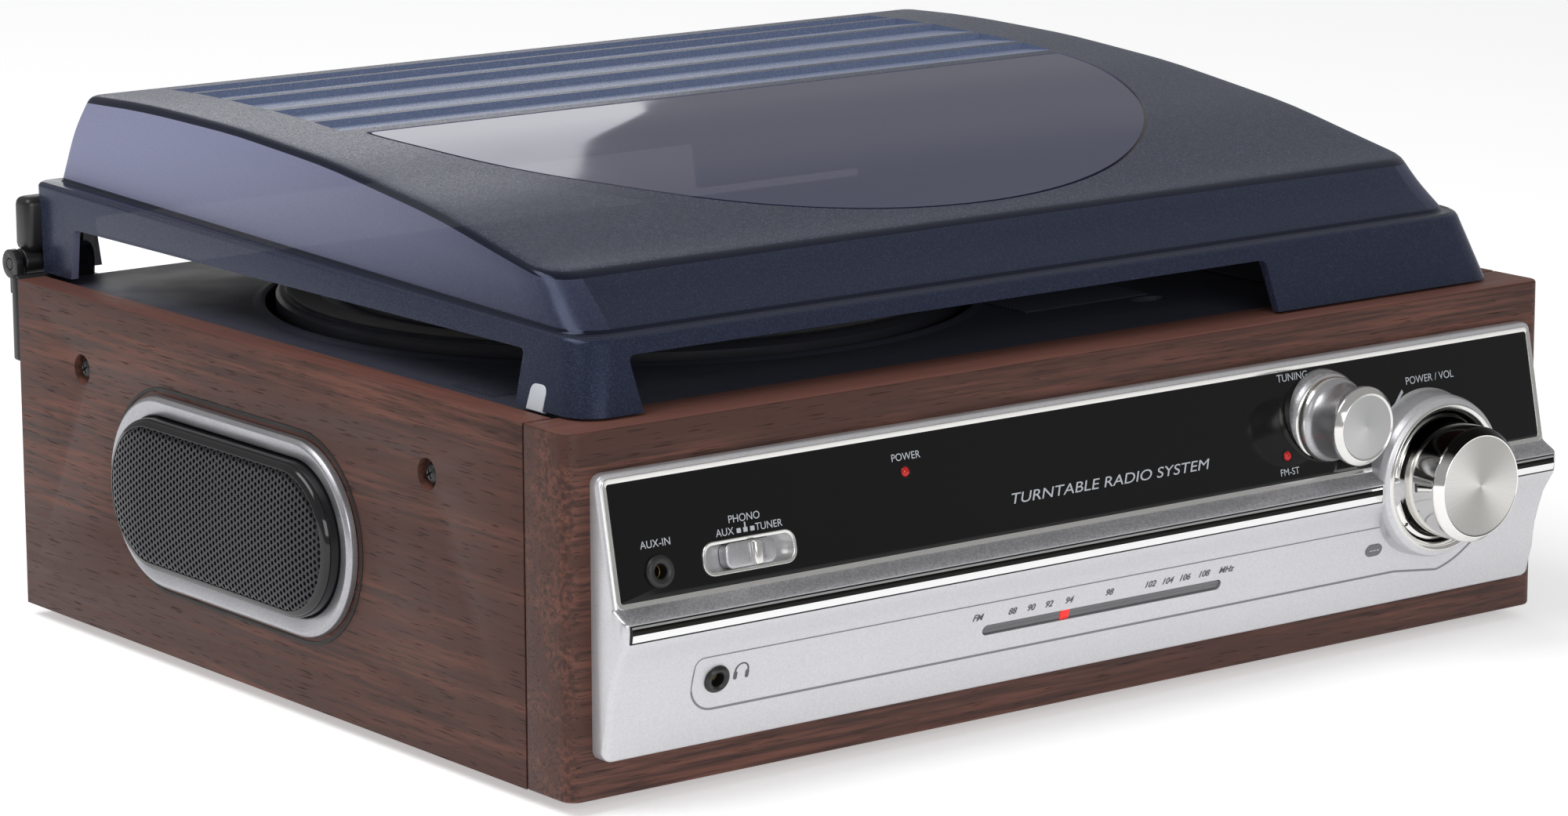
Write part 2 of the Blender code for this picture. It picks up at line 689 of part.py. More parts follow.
def fascia():
    """The silver moulding across the front: window, ledge, band and hollow-fronted skirt."""
    front = [(FRONT - reach, FASCIA_LOW + height) for reach, height in fascia_front()]
    outline = front + [(FRONT - GAP, FASCIA_HIGH), (FRONT - GAP, FASCIA_LOW)]
    piece = plate("fascia", [outline], 2 * FASCIA_END_X, FACING_SIDE, (0.0, 0.0, 0.0))
    slope = (LEDGE_REACH - FASCIA_TOP_REACH) / WINDOW_RISE
    top = WINDOW_RISE + LEDGE_HEIGHT - HOLLOW_HEAD
    inside = [(-0.001, HOLLOW_FOOT), (-0.001, top)]
    behind_window = FASCIA_WALL + WINDOW_THICK
    inside += [
        (LEDGE_REACH - slope * (top - LEDGE_HEIGHT) - behind_window, top),
        (LEDGE_REACH - behind_window, LEDGE_HEIGHT + 0.001),
        (BAND_REACH - STRIP_THICK - 2 * FASCIA_WALL, BAND_TOP - FASCIA_WALL),
        (BAND_REACH - STRIP_THICK - 2 * FASCIA_WALL, BAND_BOTTOM + FASCIA_WALL),
        (reach_of(BAND_BOTTOM / 2) - 1.3 * FASCIA_WALL, BAND_BOTTOM / 2),
        (reach_of(HOLLOW_FOOT) - FASCIA_WALL, HOLLOW_FOOT),
    ]
    hollow = [(FRONT - reach, FASCIA_LOW + height) for reach, height in inside]
    cut(piece, plate("fascia_hollow", [hollow], 2 * (FASCIA_END_X - FASCIA_END), FACING_SIDE, (0, 0, 0)))
    recess = block(
        "window_recess",
        (-window_half() - GAP, -0.002, WINDOW_FOOT - GAP),
        (window_half() + GAP, WINDOW_THICK + 2 * GAP, window_length() + WINDOW_FOOT + GAP),
        parent=WINDOW_FRAME,
        local=True,
    )
    cut(piece, recess, *round_holes("fascia"), *panel_holes("fascia"), dial_slot(), *strip_groove())
    rod_at = (-FASCIA_END_X + PHONES_FROM_END, FRONT, FASCIA_LOW + PHONES_UP)
    cut(piece, rod("phones_hole", JACK_COLLAR_RADIUS + GAP, 0.06, "Y", rod_at, 20))
    return dress(piece, "silver_paint")


def window_half():
    return FASCIA_END_X - WINDOW_RIM


def window_length():
    return WINDOW_SLOPE - WINDOW_FOOT - WINDOW_TOP_RIM


def round_holes(name):
    """Cutters through the front for the volume ring and the tuning collar."""
    volume = rod(f"{name}_volume_hole", VOLUME_RING_RADIUS + GAP, 0.08, "Y", VOLUME, 48)
    tuning = rod(f"{name}_tuning_hole", TUNING_COLLAR_RADIUS + GAP, 0.08, "Y", TUNING, 32)
    return volume, tuning


def panel_holes(name):
    """Cutters square to the sloping window, for its switch, socket and lamps."""
    hang = {"parent": WINDOW_FRAME, "local": True}
    pan = plate(
        f"{name}_switch_hole",
        [rounded(*grown(SWITCH_PAN_SIZE, GAP), SWITCH_PAN_RADIUS + GAP)],
        0.03, FACING_FRONT, (switch_x(), 0.0, SWITCH_UP), **hang,
    )
    aux = rod(f"{name}_aux_hole", JACK_BARREL_RADIUS + GAP, 0.03, "Y", (aux_x(), 0.0, AUX_UP), 20, **hang)
    power = rod(f"{name}_power_hole", LAMP_RADIUS + GAP, 0.03, "Y", lamp_place("power"), 12, **hang)
    stereo = rod(f"{name}_stereo_hole", LAMP_RADIUS + GAP, 0.03, "Y", lamp_place("stereo"), 12, **hang)
    return pan, aux, power, stereo


def switch_x():
    return SWITCH_FROM_END - FASCIA_END_X


def aux_x():
    return AUX_FROM_END - FASCIA_END_X


def lamp_place(name):
    if name == "power":
        return (POWER_LAMP[0], 0.0, POWER_LAMP[1])
    return (FASCIA_END_X - STEREO_LAMP_FROM_END, 0.0, STEREO_LAMP_UP)


def dial_slot():
    outline = rounded(DIAL_LENGTH, DIAL_HEIGHT, DIAL_HEIGHT / 2)
    return plate("dial_slot", [outline], 0.04, FACING_FRONT, (DIAL_CENTRE, FRONT, FASCIA_LOW + DIAL_UP))


def strip_level():
    middle = FASCIA_LOW + (BAND_BOTTOM + BAND_LIP_RISE[1] + BAND_TOP) / 2
    return middle - STRIP_HEIGHT / 2, middle + STRIP_HEIGHT / 2


def strip_groove():
    low, high = strip_level()
    end = FASCIA_END_X - STRIP_END_MARGIN
    y = FRONT - BAND_REACH
    corner = (end + GAP, y + STRIP_THICK + GAP, high + GAP)
    return (block("strip_groove", (-end - GAP, y - 0.002, low - GAP), corner),)


def chrome_strip(side, sign):
    """A bright strip in the band, from one end of the fascia to the volume ring."""
    low, high = strip_level()
    end = sign * (FASCIA_END_X - STRIP_END_MARGIN)
    y = FRONT - BAND_REACH
    near = VOLUME.x + sign * VOLUME_RING_RADIUS / 2
    start, stop = sorted((end, near))
    strip = block(f"chrome_strip_{side}", (start, y, low), (stop, y + STRIP_THICK, high))
    ring = rod(f"strip_end_{side}", VOLUME_RING_RADIUS + GAP, 0.08, "Y", VOLUME, 48)
    return dress(cut(strip, ring), "chrome")


def window():
    """The glossy black window, set in the fascia's slope."""
    half, length = window_half(), window_length()
    middle = (0.0, GAP + WINDOW_THICK / 2, WINDOW_FOOT + length / 2)
    outline = rounded(2 * half, length, 0.0012, 2)
    piece = plate("fascia_window", [outline], WINDOW_THICK, FACING_FRONT, middle, WINDOW_FRAME, True)
    return dress(cut(piece, *round_holes("window"), *panel_holes("window")), "gloss_black")


def volume_ring():
    """The ring round the volume knob, a cup with the shaft's hole in its floor."""
    hole = SHAFT_RADIUS + GAP
    profile = [
        (hole, VOLUME_WELL_REACH),
        (VOLUME_WELL_RADIUS, VOLUME_WELL_REACH),
        (VOLUME_WELL_RADIUS, VOLUME_RING_REACH - VOLUME_RING_LIP_ROUND[1]),
        (VOLUME_WELL_RADIUS + VOLUME_RING_LIP_ROUND[0], VOLUME_RING_REACH),
        (VOLUME_WELL_RADIUS + VOLUME_RING_LIP, VOLUME_RING_REACH),
        (VOLUME_RING_RADIUS, VOLUME_RING_REACH - VOLUME_RING_FLARE[1]),
        (VOLUME_RING_RADIUS, 2 * GAP),
        (hole, 2 * GAP),
    ]
    return dress(turned("volume_escutcheon", profile, VOLUME, OUT_OF_FRONT, 48, ring=True), "silver_paint")


def volume_knob():
    axis = frame_empty("volume_axis", VOLUME)
    back = VOLUME_WELL_REACH + 2 * GAP
    profile = [
        (0.0, VOLUME_REACH),
        (VOLUME_KNOB_RADIUS - VOLUME_FACE_INSET, VOLUME_REACH),
        (VOLUME_KNOB_RADIUS, VOLUME_REACH - VOLUME_BEVEL),
        (VOLUME_KNOB_RADIUS, back),
        (SHAFT_RADIUS, back),
        (SHAFT_RADIUS, -SHAFT_IN_PART),
        (0.0, -SHAFT_IN_PART),
    ]
    return dress(turned("volume_knob", profile, VOLUME, OUT_OF_FRONT, 48, axis), "chrome")


def volume_pot():
    """The volume control behind the front, with the knob's shaft in its bore."""
    bore = SHAFT_RADIUS + GAP
    back = -POT_BEHIND - POT_LENGTH
    profile = [
        (bore, -POT_BEHIND),
        (POT_RADIUS, -POT_BEHIND),
        (POT_RADIUS, back),
        (0.0, back),
        (0.0, -SHAFT_IN_PART - 2 * GAP),
        (bore, -SHAFT_IN_PART - 2 * GAP),
    ]
    return dress(turned("volume_pot", profile, VOLUME, OUT_OF_FRONT, 24, ring=True), "iron")


def tuning_collar():
    hole = SHAFT_RADIUS + GAP
    profile = [
        (hole, TUNING_COLLAR_REACH),
        (TUNING_COLLAR_RADIUS - TUNING_COLLAR_BEVEL[0], TUNING_COLLAR_REACH),
        (TUNING_COLLAR_RADIUS, TUNING_COLLAR_REACH - TUNING_COLLAR_BEVEL[1]),
        (TUNING_COLLAR_RADIUS, 2 * GAP),
        (hole, 2 * GAP),
    ]
    return dress(turned("tuning_collar", profile, TUNING, OUT_OF_FRONT, 32, ring=True), "silver_paint")


def tuning_knob():
    """A turned knob with a lip at its base, a waist and a bevelled head."""
    axis = frame_empty("tuning_axis", TUNING)
    back = TUNING_COLLAR_REACH + GAP
    head = TUNING_REACH - TUNING_HEAD_LENGTH
    lip = TUNING_HEAD_RADIUS + TUNING_LIP_GROWTH
    profile = [
        (0.0, TUNING_REACH),
        (TUNING_HEAD_RADIUS - TUNING_FACE_BEVEL[0], TUNING_REACH),
        (TUNING_HEAD_RADIUS, TUNING_REACH - TUNING_FACE_BEVEL[1]),
        (TUNING_HEAD_RADIUS, head),
        (TUNING_WAIST_RADIUS + 0.0003, (2 * head + back) / 3),
        (TUNING_WAIST_RADIUS, (head + 2 * back) / 3 + 0.001),
        (TUNING_WAIST_RADIUS + 0.001, back + 0.002),
        (lip, back + 0.001),
        (lip, back),
        (SHAFT_RADIUS, back),
        (SHAFT_RADIUS, -SHAFT_IN_PART),
        (0.0, -SHAFT_IN_PART),
    ]
    return dress(turned("tuning_knob", profile, TUNING, OUT_OF_FRONT, 32, axis), "spun_aluminium")


def tuning_capacitor():
    width, depth, height = CAPACITOR_SIZE
    front = FRONT + POT_BEHIND
    low = (TUNING.x - width / 2, front, TUNING.z - height / 2)
    body = block("tuning_capacitor", low, (TUNING.x + width / 2, front + depth, TUNING.z + height / 2))
    bore = rod("capacitor_bore", SHAFT_RADIUS + GAP, 2 * (SHAFT_IN_PART + GAP), "Y", TUNING, 16)
    return dress(cut(body, bore), "grey_lens")


def function_switch():
    """A slider in a rounded pan, set in the window."""
    hang = {"parent": WINDOW_FRAME, "local": True}
    inner = grown(SWITCH_PAN_SIZE, -SWITCH_PAN_WALL)
    radius = SWITCH_PAN_RADIUS - SWITCH_PAN_WALL
    depth = SWITCH_PAN_DEPTH + SWITCH_PAN_WALL
    at = (switch_x(), depth / 2, SWITCH_UP)
    outer = [rounded(*SWITCH_PAN_SIZE, SWITCH_PAN_RADIUS)]
    pan = plate("function_bezel", outer, depth, FACING_FRONT, at, **hang)
    pocket_at = (switch_x(), 0.0, SWITCH_UP)
    pocket = plate("switch_pocket", [rounded(*inner, radius)], 2 * SWITCH_PAN_DEPTH, FACING_FRONT,
                   pocket_at, **hang)
    stem_x, stem_z, stem_y = SWITCH_STEM
    reach_x, reach_z = stem_x / 2 + SWITCH_TRAVEL + GAP, stem_z / 2 + GAP
    slot = block("switch_slot", (switch_x() - reach_x, 0.0, SWITCH_UP - reach_z),
                 (switch_x() + reach_x, 2 * depth, SWITCH_UP + reach_z), **hang)
    dress(cut(pan, pocket, slot), "silver_paint")
    slide = frame_empty("function_slide", WINDOW_FRAME.location, WINDOW_FRAME.rotation_euler)
    cap_height = inner[1] - 2 * GAP
    cap_thick = SWITCH_PAN_DEPTH - GAP + SWITCH_CAP_RISE
    cap_at = (switch_x(), cap_thick / 2 - SWITCH_CAP_RISE, SWITCH_UP)
    outline = rounded(SWITCH_CAP_LENGTH, cap_height, radius - GAP)
    cap = plate("function_switch", [outline], cap_thick, FACING_FRONT, cap_at, slide, True)
    ridge_low = (switch_x() + 0.001, -SWITCH_CAP_RISE - 0.0012, SWITCH_UP - cap_height / 2)
    ridge = block("switch_ridge", ridge_low,
                  (switch_x() + 0.0045, 0.0, SWITCH_UP + cap_height / 2), slide, True)
    stem = block("switch_stem", (switch_x() - stem_x / 2, 0.0, SWITCH_UP - stem_z / 2),
                 (switch_x() + stem_x / 2, SWITCH_PAN_DEPTH + stem_y, SWITCH_UP + stem_z / 2), slide, True)
    return dress(build_on(cap, ridge, stem), "silver_paint")


def jack_profile(collar_back):
    """A socket's barrel with a collar in front and a plug's bore."""
    return [
        (JACK_BORE_RADIUS, JACK_PROUD),
        (JACK_COLLAR_RADIUS - 0.0006, JACK_PROUD),
        (JACK_COLLAR_RADIUS, JACK_PROUD - 0.0006),
        (JACK_COLLAR_RADIUS, collar_back),
        (JACK_BARREL_RADIUS, collar_back),
        (JACK_BARREL_RADIUS, -JACK_LENGTH),
        (0.0, -JACK_LENGTH),
        (0.0, -JACK_LENGTH + 0.002),
        (JACK_BORE_RADIUS, -JACK_LENGTH + 0.002),
    ]


def aux_jack():
    at = (aux_x(), 0.0, AUX_UP)
    piece = turned("aux_jack", jack_profile(0.0), at, OUT_OF_FRONT, 20, WINDOW_FRAME, True, ring=True)
    return dress(piece, "black_plastic")


def headphone_jack():
    reach = reach_of(PHONES_UP) + JACK_PROUD
    at = (PHONES_FROM_END - FASCIA_END_X, FRONT - reach, FASCIA_LOW + PHONES_UP)
    piece = turned("headphone_jack", jack_profile(-0.004), at, OUT_OF_FRONT, 20, ring=True)
    return dress(piece, "black_plastic")


def lamp(name):
    """A small red lamp whose dome stands just proud of the window."""
    dome = [(LAMP_RADIUS * math.cos(a), LAMP_PROUD * math.sin(a)) for a in (math.pi / 2, math.pi / 4, 0)]
    profile = [(0.0, LAMP_PROUD)] + dome[1:] + [(LAMP_RADIUS, -LAMP_LENGTH), (0.0, -LAMP_LENGTH)]
    piece = turned(f"{name}_lamp", profile, lamp_place(name), OUT_OF_FRONT, 16, WINDOW_FRAME, True)
    return dress(piece, "red_lens")


def dial():
    """The dial's grey lens and, behind it, the red pointer."""
    size = grown((DIAL_LENGTH, DIAL_HEIGHT), -GAP)
    z = FASCIA_LOW + DIAL_UP
    lens_at = (DIAL_CENTRE, FRONT - DIAL_LENS_REACH + DIAL_LENS_THICK / 2, z)
    lens = plate("dial_lens", [rounded(*size, size[1] / 2)], DIAL_LENS_THICK, FACING_FRONT, lens_at)
    dress(lens, "grey_lens")
    width, thick, height = POINTER_SIZE
    y = FRONT - POINTER_REACH
    slide = frame_empty("pointer_slide", (POINTER_AT, y, z))
    low = (POINTER_AT - width / 2, y, z - height / 2)
    pointer = block("dial_pointer", low, (POINTER_AT + width / 2, y + thick, z + height / 2), slide)
    return dress(pointer, "red_lens")


# ---- Speakers ----


def speaker(side, sign):
    """A speaker in a side: bezel, grille and driver, the driver behind the panel."""
    y, z = speaker_centre()
    outward = (0.0, sign * math.pi / 2, 0.0)
    opening = rounded(*BEZEL_OPENING, stadium_radius(0.0), 8)
    outer = rounded(*BEZEL_SIZE, BEZEL_SIZE[1] / 2, 8)
    sleeve_outline = rounded(*grown(BEZEL_OPENING, BEZEL_SLEEVE), stadium_radius(BEZEL_SLEEVE), 8)
    ring_thick = BEZEL_PROUD - GAP
    ring_x = sign * (SIDE + GAP + ring_thick / 2)
    bezel = plate(f"speaker_bezel_{side}", [outer], ring_thick, FACING_SIDE, (ring_x, y, z))
    soften(bezel, 0.0012, 2, 60)
    sleeve_low, sleeve_high = SIDE - SIDE_THICK + GAP, SIDE + BEZEL_PROUD / 2
    sleeve = plate(f"bezel_sleeve_{side}", [sleeve_outline], sleeve_high - sleeve_low, FACING_SIDE,
                   (sign * (sleeve_low + sleeve_high) / 2, y, z))
    hole = plate(f"bezel_hole_{side}", [opening], 4 * SIDE_THICK, FACING_SIDE, (sign * SIDE, y, z))
    build_on(bezel, sleeve)
    dress(cut(bezel, hole), "silver_paint")

    grille_outline = rounded(*grown(BEZEL_OPENING, -GAP), stadium_radius(-GAP), 8)
    grille_x = sign * (SIDE + GRILLE_RISE - GRILLE_THICK)
    grille = plate(f"speaker_grille_{side}", [grille_outline], 2 * GRILLE_THICK, FACING_SIDE,
                   (grille_x, y, z))
    soften(grille, GRILLE_THICK * 0.9, 2, 60)
    dress(grille, "grille_black")

    cone = DRIVER_RADIUS - CONE_EDGE
    flange = DRIVER_RADIUS + DRIVER_FLANGE
    profile = [
        (0.0, -0.008),
        (cone * 0.3, -0.0085),
        (cone, -0.0015),
        (DRIVER_RADIUS, 0.0),
        (flange, 0.0),
        (flange, -0.002),
        (DRIVER_RADIUS, -0.002),
        (MAGNET_RADIUS, -DRIVER_DEPTH),
        (MAGNET_RADIUS, -DRIVER_DEPTH - MAGNET_DEPTH),
        (0.0, -DRIVER_DEPTH - MAGNET_DEPTH),
    ]
    driver_at = (sign * (INNER_SIDE - GAP), y, z)
    dress(turned(f"speaker_driver_{side}", profile, driver_at, outward, 28), "iron")


# ---- Deck and platter ----


def deck_plate():
    """The top deck, a plate with the platter's well hanging from it."""
    low = (GAP - INNER_SIDE, INNER_FRONT + GAP, DECK - DECK_THICK)
    deck = block("deck_plate", low, (INNER_SIDE - GAP, BACK, DECK))
    depth = WELL_DEPTH + WELL_WALL
    cup_low = DECK - depth
    cup_height = depth - DECK_THICK / 2
    cup = rod("well_cup", WELL_RADIUS + WELL_WALL, cup_height, "Z",
              (WELL.x, WELL.y, cup_low + cup_height / 2), 64)
    well = rod("well_hollow", WELL_RADIUS, 2 * WELL_DEPTH, "Z", WELL, 64)
    spindle = rod("spindle_hole", SPINDLE_RADIUS + GAP, 4 * depth, "Z", WELL, 20)
    pulley = rod("pulley_hole", PULLEY_RADIUS + PULLEY_HOLE_MARGIN, 4 * depth, "Z", motor_place(), 24)
    build_on(deck, cup)
    cut(deck, well, spindle, pulley, finger_pad())
    for name, (y, travel) in SLIDERS.items():
        x = slider_x()
        half_x, half_y = SLIDER_STEM[0] / 2 + GAP, SLIDER_STEM[1] / 2 + GAP
        slot = block(f"{name}_slot", (x - half_x, y - half_y, DECK - 2 * DECK_THICK),
                     (x + half_x, y + half_y + travel, DECK + DECK_THICK))
        cut(deck, slot)
    return dress(deck, "deck_plastic")


def finger_pad():
    """A shallow oval in the deck, for a fingertip at the record's edge."""
    width, depth = FINGER_PAD
    outline = [(width / 2 * math.cos(a), depth / 2 * math.sin(a))
               for a in (2 * math.pi * i / 20 for i in range(20))]
    place = (WELL.x + FINGER_PAD_AT[0], FRONT + FINGER_PAD_AT[1], DECK)
    return plate("finger_pad", [outline], 2 * POCKET_DEPTH, LEVEL, place)


def platter():
    """The platter with its rim, the belt's ring under it and its hub."""
    axis = frame_empty("platter_axis", (WELL.x, WELL.y, PLATTER_TOP))
    bore = SPINDLE_RADIUS + 2 * GAP + BEARING_WALL
    under = -PLATTER_SKIN
    profile = [
        (bore, 0.0),
        (PLATTER_RADIUS - 0.001, 0.0),
        (PLATTER_RADIUS, -0.001),
        (PLATTER_RADIUS, -PLATTER_DROP),
        (PLATTER_RADIUS - PLATTER_RIM, -PLATTER_DROP),
        (PLATTER_RADIUS - PLATTER_RIM, under),
        (DRIVE_RING_RADIUS, under),
        (DRIVE_RING_RADIUS, -HUB_DROP),
        (DRIVE_RING_RADIUS - DRIVE_RING_WALL, -HUB_DROP),
        (DRIVE_RING_RADIUS - DRIVE_RING_WALL, under),
        (HUB_RADIUS, under),
        (HUB_RADIUS, -HUB_DROP),
        (bore, -HUB_DROP),
    ]
    dress(turned("platter", profile, axis.location, steps=64, parent=axis, ring=True), "deck_plastic")
    inner = SPINDLE_RADIUS + GAP
    bearing = [(inner, 0.0), (bore - GAP, 0.0), (bore - GAP, -HUB_DROP), (inner, -HUB_DROP)]
    dress(turned("platter_bearing", bearing, axis.location, steps=20, parent=axis, ring=True), "brass")
    mat_top = GAP + MAT_THICK
    edge = PLATTER_RADIUS - MAT_MARGIN
    mat = [(inner, mat_top), (edge - MAT_THICK / 2, mat_top), (edge, mat_top - MAT_THICK / 2),
           (edge, GAP), (inner, GAP)]
    dress(turned("platter_mat", mat, axis.location, steps=64, parent=axis, ring=True), "felt")


def spindle():
    """The fixed spindle, with a flange on the well's floor and a round top."""
    top = PLATTER_TOP + SPINDLE_RISE
    dome = arc((0.0, 0.0), SPINDLE_RADIUS, 90, 0, 4)
    flange = WELL_FLOOR + GAP
    profile = [(r, top - SPINDLE_RADIUS + h) for r, h in dome]
    profile[0] = (0.0, top)
    profile += [
        (SPINDLE_RADIUS, flange + SPINDLE_FLANGE_THICK),
        (SPINDLE_FLANGE, flange + SPINDLE_FLANGE_THICK),
        (SPINDLE_FLANGE, flange),
        (SPINDLE_RADIUS, flange),
        (SPINDLE_RADIUS, flange - WELL_WALL - 2 * GAP),
        (0.0, flange - WELL_WALL - 2 * GAP),
    ]
    return dress(turned("spindle", profile, (WELL.x, WELL.y, 0.0), steps=20), "steel")


# ---- Motor and belt ----


def motor_place():
    """The motor's axis, outside the platter's belt ring."""
    reach = DRIVE_RING_RADIUS + PULLEY_RADIUS + MOTOR_SPACING
    angle = math.radians(MOTOR_ANGLE)
    return Vector((WELL.x + reach * math.cos(angle), WELL.y + reach * math.sin(angle), WELL_FLOOR))


def motor():
    """The motor under the well's floor, with its shaft and pulley in the well."""
    place = motor_place()
    top = -WELL_WALL - GAP
    bore = MOTOR_SHAFT_RADIUS + GAP
    foot_of_shaft = top - MOTOR_SHAFT_LENGTH + PULLEY_FLOOR_GAP
    case = [
        (bore, top),
        (MOTOR_RADIUS - 0.001, top),
        (MOTOR_RADIUS, top - 0.001),
        (MOTOR_RADIUS, top - MOTOR_LENGTH),
        (0.0, top - MOTOR_LENGTH),
        (0.0, foot_of_shaft - GAP),
        (bore, foot_of_shaft - GAP),
    ]
    dress(turned("motor", case, place, steps=24, ring=True), "iron")
    axis = frame_empty("motor_axis", place)
    high = PULLEY_FLOOR_GAP + PULLEY_LENGTH
    pulley = [
        (0.0, high),
        (PULLEY_RADIUS, high),
        (PULLEY_RADIUS, PULLEY_FLOOR_GAP),
        (MOTOR_SHAFT_RADIUS, PULLEY_FLOOR_GAP),
        (MOTOR_SHAFT_RADIUS, foot_of_shaft),
        (0.0, foot_of_shaft),
    ]
    dress(turned("motor_pulley", pulley, place, steps=20, parent=axis), "brass")


def belt_outline(clearance):
    """The line round the belt's ring and the pulley, a clearance away from both, about the ring."""
    big, small = DRIVE_RING_RADIUS + clearance, PULLEY_RADIUS + clearance
    reach = DRIVE_RING_RADIUS + PULLEY_RADIUS + MOTOR_SPACING
    lean = math.degrees(math.acos((big - small) / reach))
    way = math.radians(MOTOR_ANGLE)
    pulley = (reach * math.cos(way), reach * math.sin(way))
    around_ring = arc((0.0, 0.0), big, MOTOR_ANGLE + lean, MOTOR_ANGLE + 360 - lean, 40)
    return around_ring + arc(pulley, small, MOTOR_ANGLE - lean, MOTOR_ANGLE + lean, 8)


def drive_belt():
    """The flat rubber belt round the platter's ring and the pulley."""
    loops = [belt_outline(2 * GAP + BELT_THICK), belt_outline(2 * GAP)]
    middle = WELL_FLOOR + PULLEY_FLOOR_GAP + PULLEY_LENGTH / 2
    piece = plate("drive_belt", loops, BELT_HEIGHT, LEVEL, (WELL.x, WELL.y, middle))
    return dress(piece, "rubber")


# ---- Tonearm ----


def tonearm_base():
    """The fixed base under the tonearm, with the yoke's bore in its top."""
    low, high = DECK + GAP, DECK + ARM_BASE_HEIGHT
    bore = YOKE_STUB_RADIUS + GAP
    profile = [
        (bore, high),
        (ARM_BASE_RADIUS * 0.72, high),
        (ARM_BASE_RADIUS * 0.78, high - 0.0008),
        (ARM_BASE_RADIUS, low + 0.0012),
        (ARM_BASE_RADIUS, low),
        (0.0, low),
        (0.0, low + ARM_BASE_FLOOR),
        (bore, low + ARM_BASE_FLOOR),
    ]
    at = (PIVOT.x, PIVOT.y, 0.0)
    return dress(turned("tonearm_base", profile, at, steps=36, ring=True), "black_plastic")


def tonearm_yoke():
    """The yoke that turns on the base and carries the arm's cross pin."""
    axis = frame_empty("tonearm_axis", PIVOT)
    low = DECK + ARM_BASE_HEIGHT + GAP
    high = low + YOKE_DISC
    profile = [
        (0.0, high),
        (YOKE_RADIUS, high),
        (YOKE_RADIUS, low),
        (YOKE_STUB_RADIUS, low),
        (YOKE_STUB_RADIUS, DECK + ARM_BASE_FLOOR + 2 * GAP),
        (0.0, DECK + ARM_BASE_FLOOR + 2 * GAP),
    ]
    yoke = turned("tonearm_yoke", profile, (PIVOT.x, PIVOT.y, 0.0), steps=28, parent=axis)
    for side, sign in SIDES:
        near = ARM_RADIUS + 2 * GAP
        x = sorted((PIVOT.x + sign * near, PIVOT.x + sign * (near + YOKE_EAR_THICK)))
        ear = block(f"yoke_ear_{side}", (x[0], PIVOT.y - YOKE_EAR_LENGTH / 2, high - YOKE_DISC / 2),
                    (x[1], PIVOT.y + YOKE_EAR_LENGTH / 2, PIVOT.z + YOKE_EAR_OVER_PIN), axis)
        build_on(yoke, ear)
    hole = rod("yoke_pin_hole", ARM_PIN_RADIUS + GAP, 4 * YOKE_RADIUS, "X", PIVOT, 12, axis)
    return dress(cut(yoke, hole), "black_plastic")


def tonearm():
    """The straight arm at rest, pointing to the front, with its balance weight and headshell."""
    tilt = frame_empty("tonearm_tilt", PIVOT)
    front = PIVOT.y - ARM_LENGTH + SHELL_LENGTH / 2
    back = PIVOT.y + BALANCE_NEAR + 0.002
    middle = Vector((PIVOT.x, (front + back) / 2, PIVOT.z))
    arm = rod("tonearm", ARM_RADIUS, back - front, "Y", middle, 16, tilt)
    pin_length = 2 * (ARM_RADIUS + 2 * GAP + YOKE_EAR_THICK)
    pin = rod("arm_pin", ARM_PIN_RADIUS, pin_length, "X", PIVOT, 12, tilt)
    weight_at = PIVOT + Vector((0.0, BALANCE_NEAR + BALANCE_LENGTH / 2, 0.0))
    weight = rod("balance_weight", BALANCE_RADIUS, BALANCE_LENGTH, "Y", weight_at, 20, tilt)
    tip = PIVOT.y - ARM_LENGTH
    low = (PIVOT.x - SHELL_WIDTH / 2, tip - SHELL_LENGTH / 4, PIVOT.z - ARM_RADIUS)
    high = (PIVOT.x + SHELL_WIDTH / 2, tip + SHELL_LENGTH * 0.75, PIVOT.z - ARM_RADIUS + SHELL_THICK)
    shell = block("headshell", low, high, tilt)
    dress(build_on(arm, pin, weight, shell), "black_plastic")

    width, length, height = CARTRIDGE_SIZE
    top = PIVOT.z - ARM_RADIUS - GAP
    body = block("cartridge", (PIVOT.x - width / 2, tip - length / 4, top - height),
                 (PIVOT.x + width / 2, tip + length * 0.75, top), tilt)
    needle_low = PLATTER_TOP + GAP + MAT_THICK + STYLUS_OVER_MAT
    needle_high = top - height / 2
    shape = bmesh.new()
    bmesh.ops.create_cone(shape, cap_ends=True, segments=10, radius1=0.0003, radius2=0.0011,
                          depth=needle_high - needle_low)
    needle = add("stylus", mesh_of(shape, "stylus"),
                 (PIVOT.x, tip, (needle_low + needle_high) / 2), parent=tilt)
    return dress(build_on(body, needle), "red_lens")


def arm_rest():
    """The post that the arm lies on, with an ear beside it for the clip."""
    y = PIVOT.y - REST_FROM_PIVOT
    seat = PIVOT.z - ARM_RADIUS - GAP
    low = DECK + GAP
    rest = rod("arm_rest", REST_RADIUS, seat - low, "Z", (PIVOT.x, y, (seat + low) / 2), 20)
    x = PIVOT.x + ARM_RADIUS + 2 * GAP
    ear = block("rest_ear", (x, y - REST_EAR[1] / 2, low + 0.002),
                (x + REST_EAR[0], y + REST_EAR[1] / 2, clip_axis().z + 0.0025))
    length = 4 * REST_EAR[1]
    hole = rod("clip_hole", ARM_PIN_RADIUS + GAP, length, "Y", clip_axis(), 12)
    return dress(cut(build_on(rest, ear), hole), "black_plastic")


def clip_axis():
    x = PIVOT.x + ARM_RADIUS + 2 * GAP + REST_EAR[0] / 2
    return Vector((x, PIVOT.y - REST_FROM_PIVOT, PIVOT.z + ARM_RADIUS + CLIP_LIFT))


